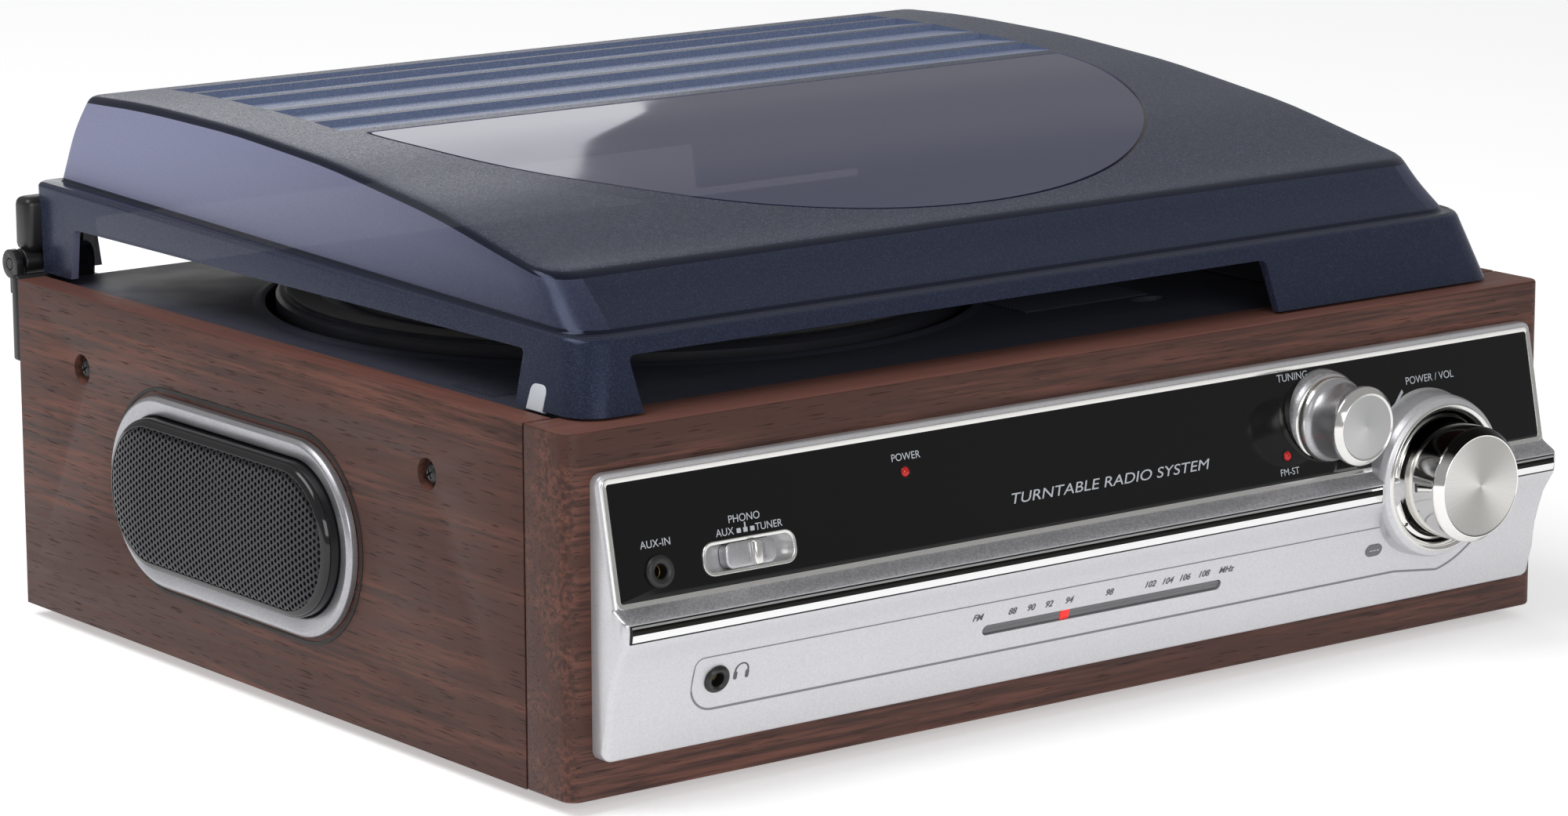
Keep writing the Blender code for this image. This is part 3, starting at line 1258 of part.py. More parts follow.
def arm_clip():
    """The clip that swings over the arm, standing open, beside the ear on its own pin."""
    place = clip_axis()
    axis = frame_empty("clip_axis", place)
    front = place.y - REST_EAR[1] / 2 - GAP
    low = (place.x - CLIP_THICK / 2, front - CLIP_WIDTH, place.z - CLIP_THICK / 2)
    clip = block("arm_clip", low, (place.x + CLIP_THICK / 2, front, place.z + CLIP_LENGTH), axis)
    pin_back = place.y + REST_EAR[1] / 2
    pin = rod("clip_pin", ARM_PIN_RADIUS * 0.98, pin_back - front + CLIP_WIDTH / 2, "Y",
              (place.x, (pin_back + front - CLIP_WIDTH / 2) / 2, place.z), 12, axis)
    return dress(build_on(clip, pin), "black_plastic")


# ---- Deck sliders ----


def slider_x():
    return PIVOT.x + SLIDER_FROM_ARM


def deck_slider(name, y):
    """A slider's cap over the deck, with its stem in the slot."""
    x = slider_x()
    slide = frame_empty(f"{name}_slide", (x, y, DECK))
    width, length, height = SLIDER_SIZE
    cap = block(name, (x - width / 2, y - length / 2, DECK + GAP),
                (x + width / 2, y + length / 2, DECK + GAP + height), slide)
    stem_x, stem_y, stem_z = SLIDER_STEM
    stem = block(f"{name}_stem", (x - stem_x / 2, y - stem_y / 2, DECK - stem_z),
                 (x + stem_x / 2, y + stem_y / 2, DECK + height / 2), slide)
    return dress(build_on(cap, stem), "black_plastic")


# ---- Lid ----


def lid_top_arc(inset):
    """(y, z) points along the crown, from the front crease to the back edge, an inset inside it."""
    crease_y = LID_FRONT + LID_FRONT_INSET + LID_SHELL_FRONT_INSET + LID_CREASE_INSET
    apex_y = BACK - LID_APEX_FROM_BACK
    drop = LID_HEIGHT - LID_CREASE_HEIGHT
    radius = ((apex_y - crease_y) ** 2 + drop ** 2) / (2 * drop)
    end_y = LID_BACK - LID_SHELL_INSET - LID_BACK_SLOPE
    points = []
    for index in range(LID_ARC_STEPS + 1):
        y = crease_y + (end_y - crease_y) * index / LID_ARC_STEPS
        sag = radius - math.sqrt(radius ** 2 - (y - apex_y) ** 2)
        points.append((y, TOP + LID_HEIGHT - sag - inset))
    return points


def lid_shell(name, inset, low):
    """The lid's upper body as a solid, an inset inside its outer face."""
    front = LID_FRONT + LID_FRONT_INSET + LID_SHELL_FRONT_INSET + inset
    back = LID_BACK - LID_SHELL_INSET - inset
    crown = lid_top_arc(inset)
    crown[0] = (crown[0][0] + inset * 0.4, crown[0][1])
    crown[-1] = (crown[-1][0] - inset * 0.8, crown[-1][1])
    outline = [(front, low), (back, low), (back, TOP + LID_SHOULDER_BACK)]
    outline += crown[::-1] + [(front, TOP + LID_SHOULDER_FRONT)]
    width = 2 * (LID_SIDE - LID_BAND_INSET - LID_SHELL_INSET - inset)
    solid = plate(name, [outline], width, FACING_SIDE, (0.0, 0.0, 0.0))
    return soften(solid, LID_EDGE_RADIUS - inset / 2, 3, 60)


def lid_skirt(name, inset, low):
    """The lid's band and feet as a solid that widens downwards, an inset inside its outer face."""
    bottom, shoulder = TOP + LID_FOOT_LIFT, TOP + LID_SHOULDER_FRONT
    more = (bottom - low) / (shoulder - bottom)
    low_x = LID_SIDE - inset + more * LID_BAND_INSET
    low_y = (LID_FRONT + inset - more * LID_FRONT_INSET, LID_BACK - inset)
    high_y = (LID_FRONT + LID_FRONT_INSET + inset, LID_BACK - inset)
    high_x = LID_SIDE - LID_BAND_INSET - inset
    back = TOP + LID_SHOULDER_BACK - inset
    return tapered(name, low_x, low_y, high_x, high_y, low, shoulder - inset, back)


def lid_openings():
    """Cutters where a large record stands out of the left, the front and the back."""
    high = TOP + LID_OPENING_HEIGHT
    height = 2 * LID_OPENING_HEIGHT
    radius = LID_OPENING_RADIUS
    x = (LID_FRONT_OPENING[0] - SIDE, WELL.x + LID_FRONT_OPENING[1])
    y = (FRONT + LID_SIDE_OPENING[0], BACK - LID_SIDE_OPENING[1])
    wide = rounded(x[1] - x[0], height, radius)
    deep = rounded(y[1] - y[0], height, radius)
    x_middle, y_middle = sum(x) / 2, sum(y) / 2
    z = high - height / 2
    through = 0.03
    return (
        plate("lid_front_opening", [wide], through, FACING_FRONT, (x_middle, LID_FRONT, z)),
        plate("lid_back_opening", [wide], through, FACING_FRONT, (x_middle, LID_BACK, z)),
        plate("lid_side_opening", [deep], through, FACING_SIDE, (-LID_SIDE, y_middle, z)),
    )


def lid():
    """The smoked lid, hollow, with its band, feet and openings."""
    axis = frame_empty("lid_axis", (0.0, HINGE_Y, HINGE_Z))
    bottom = TOP + LID_FOOT_LIFT
    under = bottom - 0.004
    shell = lid_shell("lid", 0.0, TOP + LID_OPENING_HEIGHT / 2)
    shell.location -= axis.location
    shell.parent = axis
    build_on(shell, lid_skirt("lid_band", 0.0, bottom))
    cut(shell, lid_shell("lid_hollow", LID_WALL, under), lid_skirt("lid_band_hollow", LID_WALL, under))
    return dress(cut(shell, *lid_openings()), "smoked_plastic"), axis


def hinge(side, sign, axis):
    """A lid hinge: bracket and pin on the cabinet, block with a knuckle on the lid."""
    x = sign * (SIDE - HINGE_FROM_SIDE)
    half, inner = HINGE_WIDTH / 2, HINGE_BLOCK_WIDTH / 2
    plate_y = BACK + GAP
    bracket = block(
        f"hinge_bracket_{side}",
        (x - half, plate_y, TOP - HINGE_PLATE_DROP),
        (x + half, plate_y + HINGE_PLATE_THICK, HINGE_Z - HINGE_KNUCKLE),
    )
    for edge, way in SIDES:
        near = inner + GAP
        span = sorted((x + way * near, x + way * half))
        width = span[1] - span[0]
        arm = block(f"hinge_arm_{side}_{edge}", (span[0], plate_y, HINGE_Z - 2 * HINGE_KNUCKLE),
                    (span[1], HINGE_Y, HINGE_Z))
        ear_at = (sum(span) / 2, HINGE_Y, HINGE_Z)
        ear = rod(f"hinge_ear_{side}_{edge}", HINGE_KNUCKLE, width, "X", ear_at, 20)
        build_on(bracket, arm, ear)
        clear = block(f"lid_clearance_{side}_{edge}",
                      (span[0] - GAP, BACK - GAP, HINGE_Z - HINGE_KNUCKLE - 0.0005),
                      (span[1] + GAP, LID_BACK + GAP, HINGE_Z + HINGE_KNUCKLE))
        cut(bracket, clear)
    centre = (x, HINGE_Y, HINGE_Z)
    hole = rod(f"bracket_pin_hole_{side}", HINGE_PIN_RADIUS + GAP, 2 * HINGE_WIDTH, "X", centre, 16)
    dress(cut(bracket, hole), "black_plastic")
    dress(rod(f"hinge_pin_{side}", HINGE_PIN_RADIUS, HINGE_WIDTH, "X", centre, 16), "steel")

    low_z = HINGE_Z + HINGE_PIN_RADIUS
    body = block(
        f"hinge_block_{side}",
        (x - inner, LID_BACK + GAP, low_z),
        (x + inner, LID_BACK + GAP + HINGE_BLOCK_DEPTH, low_z + HINGE_BLOCK_HEIGHT),
        axis,
    )
    knuckle = rod(f"hinge_knuckle_{side}", HINGE_KNUCKLE, HINGE_BLOCK_WIDTH, "X", centre, 20, axis)
    bore = rod(f"hinge_bore_{side}", HINGE_PIN_RADIUS + GAP, 2 * HINGE_WIDTH, "X", centre, 16, axis)
    return dress(cut(build_on(body, knuckle), bore), "black_plastic")


# ---- Electronics ----


def main_board():
    """The amplifier and tuner board over the bottom, with its larger components."""
    width, depth, thick = BOARD_SIZE
    low = FLOOR + BOTTOM_THICK + BOARD_HEIGHT
    y = INNER_FRONT + BOARD_FROM_FRONT
    board = block("main_board", (-width / 2, y, low), (width / 2, y + depth, low + thick))
    parts = (
        ("heat_sink", (-0.050, 0.050), (0.030, 0.010, 0.018)),
        ("reservoir", (0.000, 0.045), (0.010, 0.010, 0.016)),
        ("tuner_can", (0.030, 0.030), (0.020, 0.016, 0.010)),
        ("amplifier_chip", (-0.015, 0.020), (0.018, 0.008, 0.004)),
    )
    for name, (x, forward), (part_width, part_depth, part_height) in parts:
        corner = Vector((x, y + forward, low + thick / 2))
        build_on(board, block(name, corner, corner + Vector((part_width, part_depth, part_height))))
    return dress(board, "circuit_green")


def transformer():
    """The mains transformer on the bottom board, with its mounting strap."""
    width, depth, height = TRANSFORMER_SIZE
    tab_width, tab_depth, tab_thick = TRANSFORMER_TAB
    low = FLOOR + BOTTOM_THICK + GAP
    x = INNER_SIDE - tab_width / 2 - TRANSFORMER_FROM_RIGHT
    y = BACK - BACK_RECESS - BACK_THICK - depth / 2 - TRANSFORMER_FROM_BACK
    core = block("transformer", (x - width / 2, y - depth / 2, low),
                 (x + width / 2, y + depth / 2, low + height))
    tab = block("transformer_tab", (x - tab_width / 2, y - tab_depth / 2, low),
                (x + tab_width / 2, y + tab_depth / 2, low + tab_thick))
    return dress(build_on(core, tab), "iron")


def socket_x():
    return SIDE - SOCKET_FROM_RIGHT


def socket_z():
    return FLOOR + SOCKET_UP


def sound_sockets():
    """The pair of sound output sockets on one plate, in the back."""
    width, thick, height = SOCKET_PLATE
    face = BACK - BACK_RECESS + GAP
    x, z = socket_x(), socket_z()
    base = block("sound_sockets", (x - width / 2, face, z - height / 2),
                 (x + width / 2, face + thick, z + height / 2))
    for index, step in enumerate((-0.5, 0.5)):
        at = (x + step * SOCKET_PITCH, face + thick / 2, z)
        length = 2 * SOCKET_PROUD
        barrel = rod(f"socket_barrel_{index + 1}", SOCKET_RADIUS - GAP, length, "Y", at, 20)
        hole = rod(f"socket_bore_{index + 1}", SOCKET_BORE_RADIUS, SOCKET_PROUD, "Y",
                   (at[0], face + SOCKET_PROUD, z), 12)
        build_on(base, barrel)
        cut(base, hole)
    return dress(base, "black_plastic")


def inlet_place():
    return Vector((INLET_FROM_LEFT - SIDE, BACK - BACK_RECESS, FLOOR + INLET_UP))


def cord_inlet():
    """The grommet in the back that the mains lead passes through."""
    bore = CORD_RADIUS
    outward = (-math.pi / 2, 0.0, 0.0)
    profile = [
        (bore, 0.0024),
        (INLET_FLANGE - 0.001, 0.0024),
        (INLET_FLANGE, 0.0016),
        (INLET_FLANGE, GAP),
        (INLET_RADIUS, GAP),
        (INLET_RADIUS, -BACK_THICK - 0.002),
        (bore, -BACK_THICK - 0.002),
    ]
    return dress(turned("cord_inlet", profile, inlet_place(), outward, 20, ring=True), "rubber")


def build():
    for side, sign in SIDES:
        side_panel(side, sign)
        speaker(side, sign)
        chrome_strip(side, sign)
    front_frame()
    back_panel()
    bottom_board()
    feet()
    fascia()
    window()
    volume_ring()
    volume_knob()
    volume_pot()
    tuning_collar()
    tuning_knob()
    tuning_capacitor()
    function_switch()
    aux_jack()
    headphone_jack()
    lamp("power")
    lamp("stereo")
    dial()
    deck_plate()
    platter()
    spindle()
    motor()
    drive_belt()
    tonearm_base()
    tonearm_yoke()
    tonearm()
    arm_rest()
    arm_clip()
    for name, (y, _travel) in SLIDERS.items():
        deck_slider(name, y)
    _, axis = lid()
    for side, sign in SIDES:
        hinge(side, sign, axis)
    main_board()
    transformer()
    sound_sockets()
    cord_inlet()


SLIDERS = {
    "speed_switch": (FRONT + SPEED_SLIDER_FROM_FRONT, SPEED_TRAVEL),
    "auto_stop_switch": (FRONT + STOP_SLIDER_FROM_FRONT, STOP_TRAVEL),
}

clear_scene()
PARTS = collection("record_player")
CUTTERS = collection("cutters")
WINDOW_FRAME = frame_empty(
    "window_frame", (0.0, FRONT - LEDGE_REACH, FASCIA_LOW + LEDGE_HEIGHT), (-WINDOW_TILT, 0.0, 0.0)
)
build()
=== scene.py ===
# %% [markdown]
# # A record player with a radio in it
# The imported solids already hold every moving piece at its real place, in metres, with the front
# towards -Y. This lesson keeps their places and dresses them: wood, silver paint, chrome, smoked
# plastic. Where a solid is too plain for the eye, a finer piece takes its place.

# %% Load the solids
import json
import math

import bmesh
import bpy
import numpy as np
from mathutils import Matrix, Vector


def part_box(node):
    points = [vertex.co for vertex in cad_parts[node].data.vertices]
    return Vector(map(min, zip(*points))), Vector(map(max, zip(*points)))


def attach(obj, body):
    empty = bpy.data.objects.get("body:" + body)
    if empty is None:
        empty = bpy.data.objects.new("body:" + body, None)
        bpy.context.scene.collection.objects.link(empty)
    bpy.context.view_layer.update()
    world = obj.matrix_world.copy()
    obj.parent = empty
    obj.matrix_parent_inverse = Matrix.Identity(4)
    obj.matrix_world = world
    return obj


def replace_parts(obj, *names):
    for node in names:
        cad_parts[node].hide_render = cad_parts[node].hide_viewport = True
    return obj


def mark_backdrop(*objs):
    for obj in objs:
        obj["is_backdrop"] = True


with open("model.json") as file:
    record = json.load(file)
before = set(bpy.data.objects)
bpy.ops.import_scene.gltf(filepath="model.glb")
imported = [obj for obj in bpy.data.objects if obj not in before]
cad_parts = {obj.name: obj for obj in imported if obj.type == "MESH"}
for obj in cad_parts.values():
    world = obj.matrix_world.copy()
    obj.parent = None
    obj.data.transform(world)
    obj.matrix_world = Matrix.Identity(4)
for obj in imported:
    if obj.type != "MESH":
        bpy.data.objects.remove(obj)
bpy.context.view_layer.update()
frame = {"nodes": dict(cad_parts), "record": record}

# %% [markdown]
# ## Where the cabinet's faces are
# All later places are counted from the wooden box: across from its middle, deep from its front
# face, and up from its underside. Reading those three planes from the solids keeps every new piece
# in step with them.

# %% The cabinet's planes
box_low, box_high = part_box("front_frame")
FRONT, UNDER, TOP, SIDE = box_low.y, box_low.z, box_high.z, box_high.x
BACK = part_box("side_panel_left")[1].y
MM = 0.001


def spot(across, deep, up):
    """A point counted in millimetres from the cabinet's middle, front and underside."""
    return Vector((across * MM, FRONT + deep * MM, UNDER + up * MM))


print("cabinet", [round(v / MM, 1) for v in (2 * SIDE, BACK - FRONT, TOP - UNDER)], "mm")

# %% [markdown]
# ## The camera
# It stands low at the left, about a metre and a half away, with a long lens, so that the upright
# edges stay nearly parallel. Its three turns are the bearing, the downward tilt and a trace of roll.

# %% Camera
BEARING, TILT, ROLL = math.radians(-37.6156), math.radians(11.8191), math.radians(-0.1623)


def set_camera():
    eye = bpy.data.cameras.new("camera")
    eye.lens, eye.sensor_width = 122.49, 36
    eye.clip_start = 0.05
    stand = bpy.data.objects.new("camera", eye)
    turn = Matrix.Rotation(BEARING, 4, "Z") @ Matrix.Rotation(math.pi / 2 - TILT, 4, "X")
    stand.matrix_world = (
        Matrix.Translation(spot(-911.7, -1050.65, 370.4)) @ turn @ Matrix.Rotation(ROLL, 4, "Z")
    )
    bpy.context.scene.collection.objects.link(stand)
    bpy.context.scene.camera = stand
    return stand


print("camera at", [round(v, 3) for v in set_camera().matrix_world.translation])

# %% [markdown]
# ## Shader maths as Python
# A material is a small program of nodes. Written as `grain * 0.5 + 0.2` it reads like one, so a
# Wire wraps a node's output and turns each sum into its Math node. A Paint is one material: it adds
# any other node from its kind, its settings and its sockets.

# %% Wire and Paint


class Wire:
    """A value on its way from one shader node to the next."""

    def __init__(self, paint, socket):
        self.paint, self.socket = paint, socket

    def maths(self, operation, *values):
        return self.paint.node("ShaderNodeMath", {"operation": operation}, dict(enumerate(values)))

    def __add__(self, other):
        return self.maths("ADD", self, other)

    def __sub__(self, other):
        return self.maths("SUBTRACT", self, other)

    def __rsub__(self, other):
        return self.maths("SUBTRACT", other, self)

    def __mul__(self, other):
        return self.maths("MULTIPLY", self, other)

    def __pow__(self, other):
        return self.maths("POWER", self, other)

    __radd__, __rmul__ = __add__, __mul__

    def between(self, low, high, start=0.0, end=1.0):
        """The value from low to high, laid out from start to end and held there."""
        return self.paint.node(
            "ShaderNodeMapRange", {"clamp": True, "interpolation_type": "SMOOTHSTEP"},
            {"Value": self, "From Min": low, "From Max": high, "To Min": start, "To Max": end},
        )


def tone(red, green, blue):
    """A colour given in 0 to 255, as light."""
    light = [((c / 255 + 0.055) / 1.055) ** 2.4 if c > 10 else c / 3294 for c in (red, green, blue)]
    return (*light, 1.0)


def scaled(colour, factor):
    """The same colour, darker or lighter."""
    return tuple(min(1.0, c * factor) for c in colour[:3]) + (1.0,)


class Paint:
    """One material, with the places where its colour and roughness come from."""

    def __init__(self, name, colour, roughness, metallic=0.0, **steady):
        self.material = bpy.data.materials.new(name)
        self.material.use_nodes = True
        self.tree = self.material.node_tree
        self.shader = self.tree.nodes["Principled BSDF"]
        self.material.diffuse_color = colour
        self.give("Base Color", colour)
        self.give("Roughness", roughness)
        self.give("Metallic", metallic)
        for socket, value in steady.items():
            self.give(socket.replace("_", " "), value)

    def feed(self, socket, value):
        if isinstance(value, Wire):
            self.tree.links.new(value.socket, socket)
        else:
            socket.default_value = value

    def give(self, socket, value):
        self.feed(self.shader.inputs[socket], value)

    def node(self, kind, settings, sockets, output=0):
        made = self.tree.nodes.new(kind)
        for name, value in settings.items():
            setattr(made, name, value)
        for name, value in sockets.items():
            self.feed(made.inputs[name], value)
        return Wire(self, made.outputs[output])

    def place(self, across=1.0, deep=1.0, up=1.0):
        """Where on the object, with each direction stretched or squeezed."""
        point = self.node("ShaderNodeTexCoord", {}, {}, "Object")
        return self.node("ShaderNodeVectorMath", {"operation": "MULTIPLY"},
                         {0: point, 1: (across, deep, up)})

    def cloud(self, size, stretch=(1, 1, 1), detail=3.0, rough=0.55, warp=0.0):
        """Soft noise whose patches are about size across, in metres."""
        return self.node("ShaderNodeTexNoise", {}, {
            "Vector": self.place(*stretch), "Scale": 1 / size, "Detail": detail,
            "Roughness": rough, "Distortion": warp})

    def grit(self, size):
        """Flat specks, each about size across and with a random shade."""
        speck = self.node("ShaderNodeTexVoronoi", {}, {"Vector": self.place(), "Scale": 1 / size},
                          "Color")
        return self.node("ShaderNodeSeparateColor", {}, {0: speck})

    def blend(self, share, first, second):
        return self.node("ShaderNodeMix", {"data_type": "RGBA"}, {0: share, 6: first, 7: second}, 2)

    def bump(self, height, depth, strength=1.0):
        bumped = self.node("ShaderNodeBump", {}, {
            "Strength": strength, "Distance": depth, "Height": height})
        self.give("Normal", bumped)

    def facing(self):
        """Which way the surface faces, as across, deep and up."""
        normal = self.node("ShaderNodeNewGeometry", {}, {}, "Normal")
        return [self.node("ShaderNodeSeparateXYZ", {}, {0: normal}, axis) for axis in "XYZ"]


print("half of a 0.5 tone is", round(tone(128, 128, 128)[0], 3))

# %% [markdown]
# ## Walnut veneer
# The box is chipboard under a dark reddish veneer. Veneer could be a scan, but here it is worked
# out: slow bands of colour, finer streaks along the grain, and short dark pores. The stretch runs
# along each board, so the front needs its own copy with the grain across. Faces that point up, the
# cut top edges, are painted lighter and redder: partly their own redder colour, partly a painted
# highlight.

# %% Walnut


def walnut(name, along):
    """Veneer whose grain runs along one direction: 0 is across, 1 is deep."""
    wood = Paint(name, tone(88, 56, 48), 0.5, Specular_IOR_Level=0.28)
    squeeze = lambda amount: tuple(amount if i == along else 1.0 for i in range(3))
    bands = wood.cloud(0.016, squeeze(0.09), 3, 0.5, 0.6)
    streaks = wood.cloud(0.0016, squeeze(0.035), 4, 0.65)
    pores = wood.cloud(0.0005, squeeze(0.045), 2, 0.5).between(0.60, 0.70)
    light = wood.blend(streaks.between(0.34, 0.68), tone(56, 35, 29), tone(104, 66, 55))
    deep = wood.blend(bands.between(0.38, 0.64), light, tone(70, 43, 36))
    grained = wood.blend(pores * 0.62, deep, tone(26, 15, 12))
    # Painted highlight: faces that point up blend towards a lighter red, as well as the cut edges' own
    # tone.
    edge = wood.facing()[2].between(0.55, 0.95)
    wood.give("Base Color", wood.blend(edge * 0.6, grained, tone(126, 82, 72)))
    wood.give("Roughness", pores * 0.2 + streaks.between(0.3, 0.7, 0.44, 0.56))
    wood.bump(streaks * 0.4 - pores, 0.00012, 0.6)
    return wood.material


WALNUT_SIDE, WALNUT_FRONT = walnut("walnut_side", 1), walnut("walnut_front", 0)
print("walnut:", WALNUT_SIDE.name, WALNUT_FRONT.name)

# %% [markdown]
# ## Silver paint, chrome and spun metal
# The silver parts are plastic sprayed with metal flake: half metallic, with a fine sparkle where
# the flakes face different ways. Chrome is smooth. The knobs' faces are turned on a lathe, which
# leaves fine rings; the rings throw the light into pairs of bright fans, so bright and dark fans
# round the centre are painted into the colour as a reflection, standing for what the finest rings do.

# %% Silver and chrome


def silver(name, colour, roughness, flake, metallic=0.75, size=0.0003):
    paint = Paint(name, colour, roughness, metallic)
    specks = paint.grit(size)
    patches = paint.cloud(0.012, detail=2)
    paint.give("Base Color", paint.blend(specks, scaled(colour, 1 - flake), scaled(colour, 1 + flake)))
    paint.give("Roughness", patches.between(0.3, 0.7, roughness - 0.03, roughness + 0.04))
    paint.bump(specks, 0.00003, flake)
    return paint.material


def chrome(name, colour, roughness=0.06):
    paint = Paint(name, colour, roughness, 1.0)
    wear = paint.cloud(0.004, detail=4)
    paint.give("Roughness", wear.between(0.35, 0.75, roughness, roughness + 0.06))
    return paint.material


def spun(name, centre, colour, fans=2.0, start=0.0, depth=0.35):
    """Metal turned about a centre on the front, with rings, and fans of light painted into its colour."""
    paint = Paint(name, colour, 0.26, 1.0)
    point = paint.node("ShaderNodeVectorMath", {"operation": "SUBTRACT"},
                       {0: paint.place(), 1: tuple(centre)})
    across, up = (paint.node("ShaderNodeSeparateXYZ", {}, {0: point}, axis) for axis in "XZ")
    angle = up.maths("ARCTAN2", up, across)
    # Painted reflection: bright and dark fans by the angle round the centre, with streaks, go into the
    # colour.
    fan = (angle * fans + start).maths("COSINE", angle * fans + start) * 0.5 + 0.5
    ray = paint.node("ShaderNodeTexNoise", {"noise_dimensions": "1D"},
                     {"W": angle * 9.0, "Scale": 5.0, "Detail": 3.0})
    radius = (across * across + up * up) ** 0.5
    rings = (radius * 21000.0).maths("SINE", radius * 21000.0)
    shade = fan ** 1.6 * 0.8 + ray.between(0.3, 0.7, 0.0, 0.2)
    paint.give("Base Color", paint.blend(shade, scaled(colour, 1 - depth), scaled(colour, 1.12)))
    paint.bump(rings, 0.000012, 0.5)
    return paint.material


SILVER = silver("silver_paint", tone(203, 203, 206), 0.34, 0.06, 0.6)
GRANULAR = silver("silver_granular", tone(178, 178, 181), 0.36, 0.20, 0.8, 0.00045)
POLISHED_SILVER = silver("silver_lip", tone(226, 225, 222), 0.16, 0.03, 0.95)
SATIN = silver("silver_satin", tone(186, 186, 189), 0.28, 0.06, 0.85, 0.0004)
BEZEL_SILVER = silver("silver_bezel", tone(172, 172, 176), 0.32, 0.08, 0.85, 0.0004)
CHROME = chrome("chrome", tone(232, 232, 232))
# Painted reflection: a dark copy of chrome for the strip's upper facet, standing for the dark room it
# mirrors.
CHROME_PAINTED_DARK_REFLECTION = chrome("chrome_painted_dark_reflection", tone(38, 37, 36), 0.10)
print("silvers:", SILVER.name, GRANULAR.name, SATIN.name)

# %% [markdown]
# ## Smoked plastic
# The lid is one blue-grey moulding, hardly see-through. Real refraction would need many bounces for
# two thin walls, so each wall is a skin that lets a little through instead. Its top is sandblasted,
# with its sparkle painted as pale specks, its grooves are painted lighter as a highlight, its sides
# are a paler satin, painted lighter high up and towards the back, its foot and rolled edges are dark,
# and the half-round window is polished. Looked along, the plastic is denser at its rims, and its
# colour turns lighter there as a painted sheen.

# %% Smoked plastic


def smoked(name, colour, rim, roughness, alpha, rim_alpha, frost=0.0, glow=None):
    """Tinted plastic. Given a glow colour, it is painted lighter with it high up and towards the back."""
    paint = Paint(name, colour, roughness, IOR=1.49, Specular_Tint=tone(178, 190, 232))
    slant = paint.node("ShaderNodeLayerWeight", {}, {"Blend": 0.35}, "Facing")
    # Looked along, the colour turns to the lighter rim colour: a painted sheen; the alpha below makes it
    # denser there.
    base = paint.blend(slant ** 2.0, colour, rim)
    if glow:
        deep = paint.node("ShaderNodeSeparateXYZ", {}, {0: paint.place()}, "Y")
        up = paint.node("ShaderNodeSeparateXYZ", {}, {0: paint.place()}, "Z")
        # Painted light: lighter high up and towards the back.
        painted_light_share = (deep * 3.2 + up * 9.0).between(0.70, 1.75)
        base = paint.blend(painted_light_share, base, glow)
    if frost:
        specks = paint.grit(0.00026)
        # Painted glints: the brightest specks are painted pale as sparkle; bump and roughness give the
        # sandblasted grain.
        sparkle = specks.between(0.70, 0.99)
        base = paint.blend(sparkle * frost, base, tone(150, 160, 184))
        paint.give("Roughness", specks.between(0.0, 1.0, roughness - 0.08, roughness + 0.10))
        paint.bump(specks + paint.cloud(0.0006, detail=2), 0.00003, 0.1 + frost)
    else:
        wave = paint.cloud(0.03, detail=2)
        paint.give("Roughness", wave.between(0.3, 0.7, roughness, roughness + 0.04))
    paint.give("Base Color", base)
    paint.give("Alpha", slant.between(0.2, 0.95, alpha, rim_alpha))
    return paint.material


SMOKE_TOP = smoked("smoke_frosted", tone(20, 26, 40), tone(52, 60, 84), 0.30, 0.97, 0.99, 0.26)
# Painted highlight: the grooves' faces are a lighter copy of the same plastic.
SMOKE_RIDGE_HIGHLIGHT = smoked("smoke_ridge_painted_highlight", tone(98, 110, 138), tone(140, 150, 178), 0.26, 0.97, 0.99, 0.35)
# The last colour is painted light: the sides turn lighter high up and towards the back.
SMOKE_SIDE = smoked("smoke_clear", tone(38, 41, 58), tone(86, 91, 118), 0.32, 0.975, 0.99, 0.06,
                    tone(130, 132, 160))
SMOKE_BAND = smoked("smoke_band", tone(30, 34, 50), tone(70, 76, 98), 0.26, 0.97, 0.99, 0.05)
SMOKE_EDGE = smoked("smoke_edge", tone(12, 15, 25), tone(50, 56, 78), 0.16, 0.97, 0.99)
SMOKE_WINDOW = smoked("smoke_polished", tone(48, 50, 74), tone(70, 72, 100), 0.05, 0.94, 0.97)
SMOKE_INSIDE = smoked("smoke_inside", tone(30, 33, 48), tone(60, 64, 88), 0.16, 0.30, 0.65)
print("smoked plastics:", len([m for m in bpy.data.materials if m.name.startswith("smoke")]))

# %% [markdown]
# ## Blacks, deck plastic and small colours
# The window over the dials is gloss black. The deck and platter are moulded in dark blue-grey with a
# fine spark-eroded texture. The others are small: red lenses, grey dial, rubber, felt, brass.

# %% Plastics and small metals


def moulded(name, colour, roughness, grain=0.0005, depth=0.00004, spread=0.16, **steady):
    """Moulded plastic with a fine texture and a little unevenness."""
    paint = Paint(name, colour, roughness, **steady)
    fine, broad = paint.cloud(grain, detail=3), paint.cloud(0.02, detail=2)
    paint.give("Base Color", paint.blend(fine, scaled(colour, 1 - spread), scaled(colour, 1 + spread)))
    paint.give("Roughness", broad.between(0.3, 0.7, roughness - 0.04, roughness + 0.05))
    paint.bump(fine, depth, 0.6)
    return paint.material


def turned_metal(name, colour, roughness):
    paint = Paint(name, colour, roughness, 1.0)
    streaks = paint.cloud(0.0008, (0.2, 0.2, 1.0), 4)
    paint.give("Roughness", streaks.between(0.3, 0.7, roughness - 0.06, roughness + 0.1))
    paint.bump(streaks, 0.00001, 0.4)
    return paint.material


GLOSS_BLACK = moulded("gloss_black", tone(10, 10, 11), 0.05, 0.02, 0.0, 0.05,
                      Specular_IOR_Level=0.3)
PLASTIC_BLACK = moulded("plastic_black", tone(26, 26, 27), 0.36)
HINGE_BLACK = moulded("hinge_black", tone(20, 20, 21), 0.32)
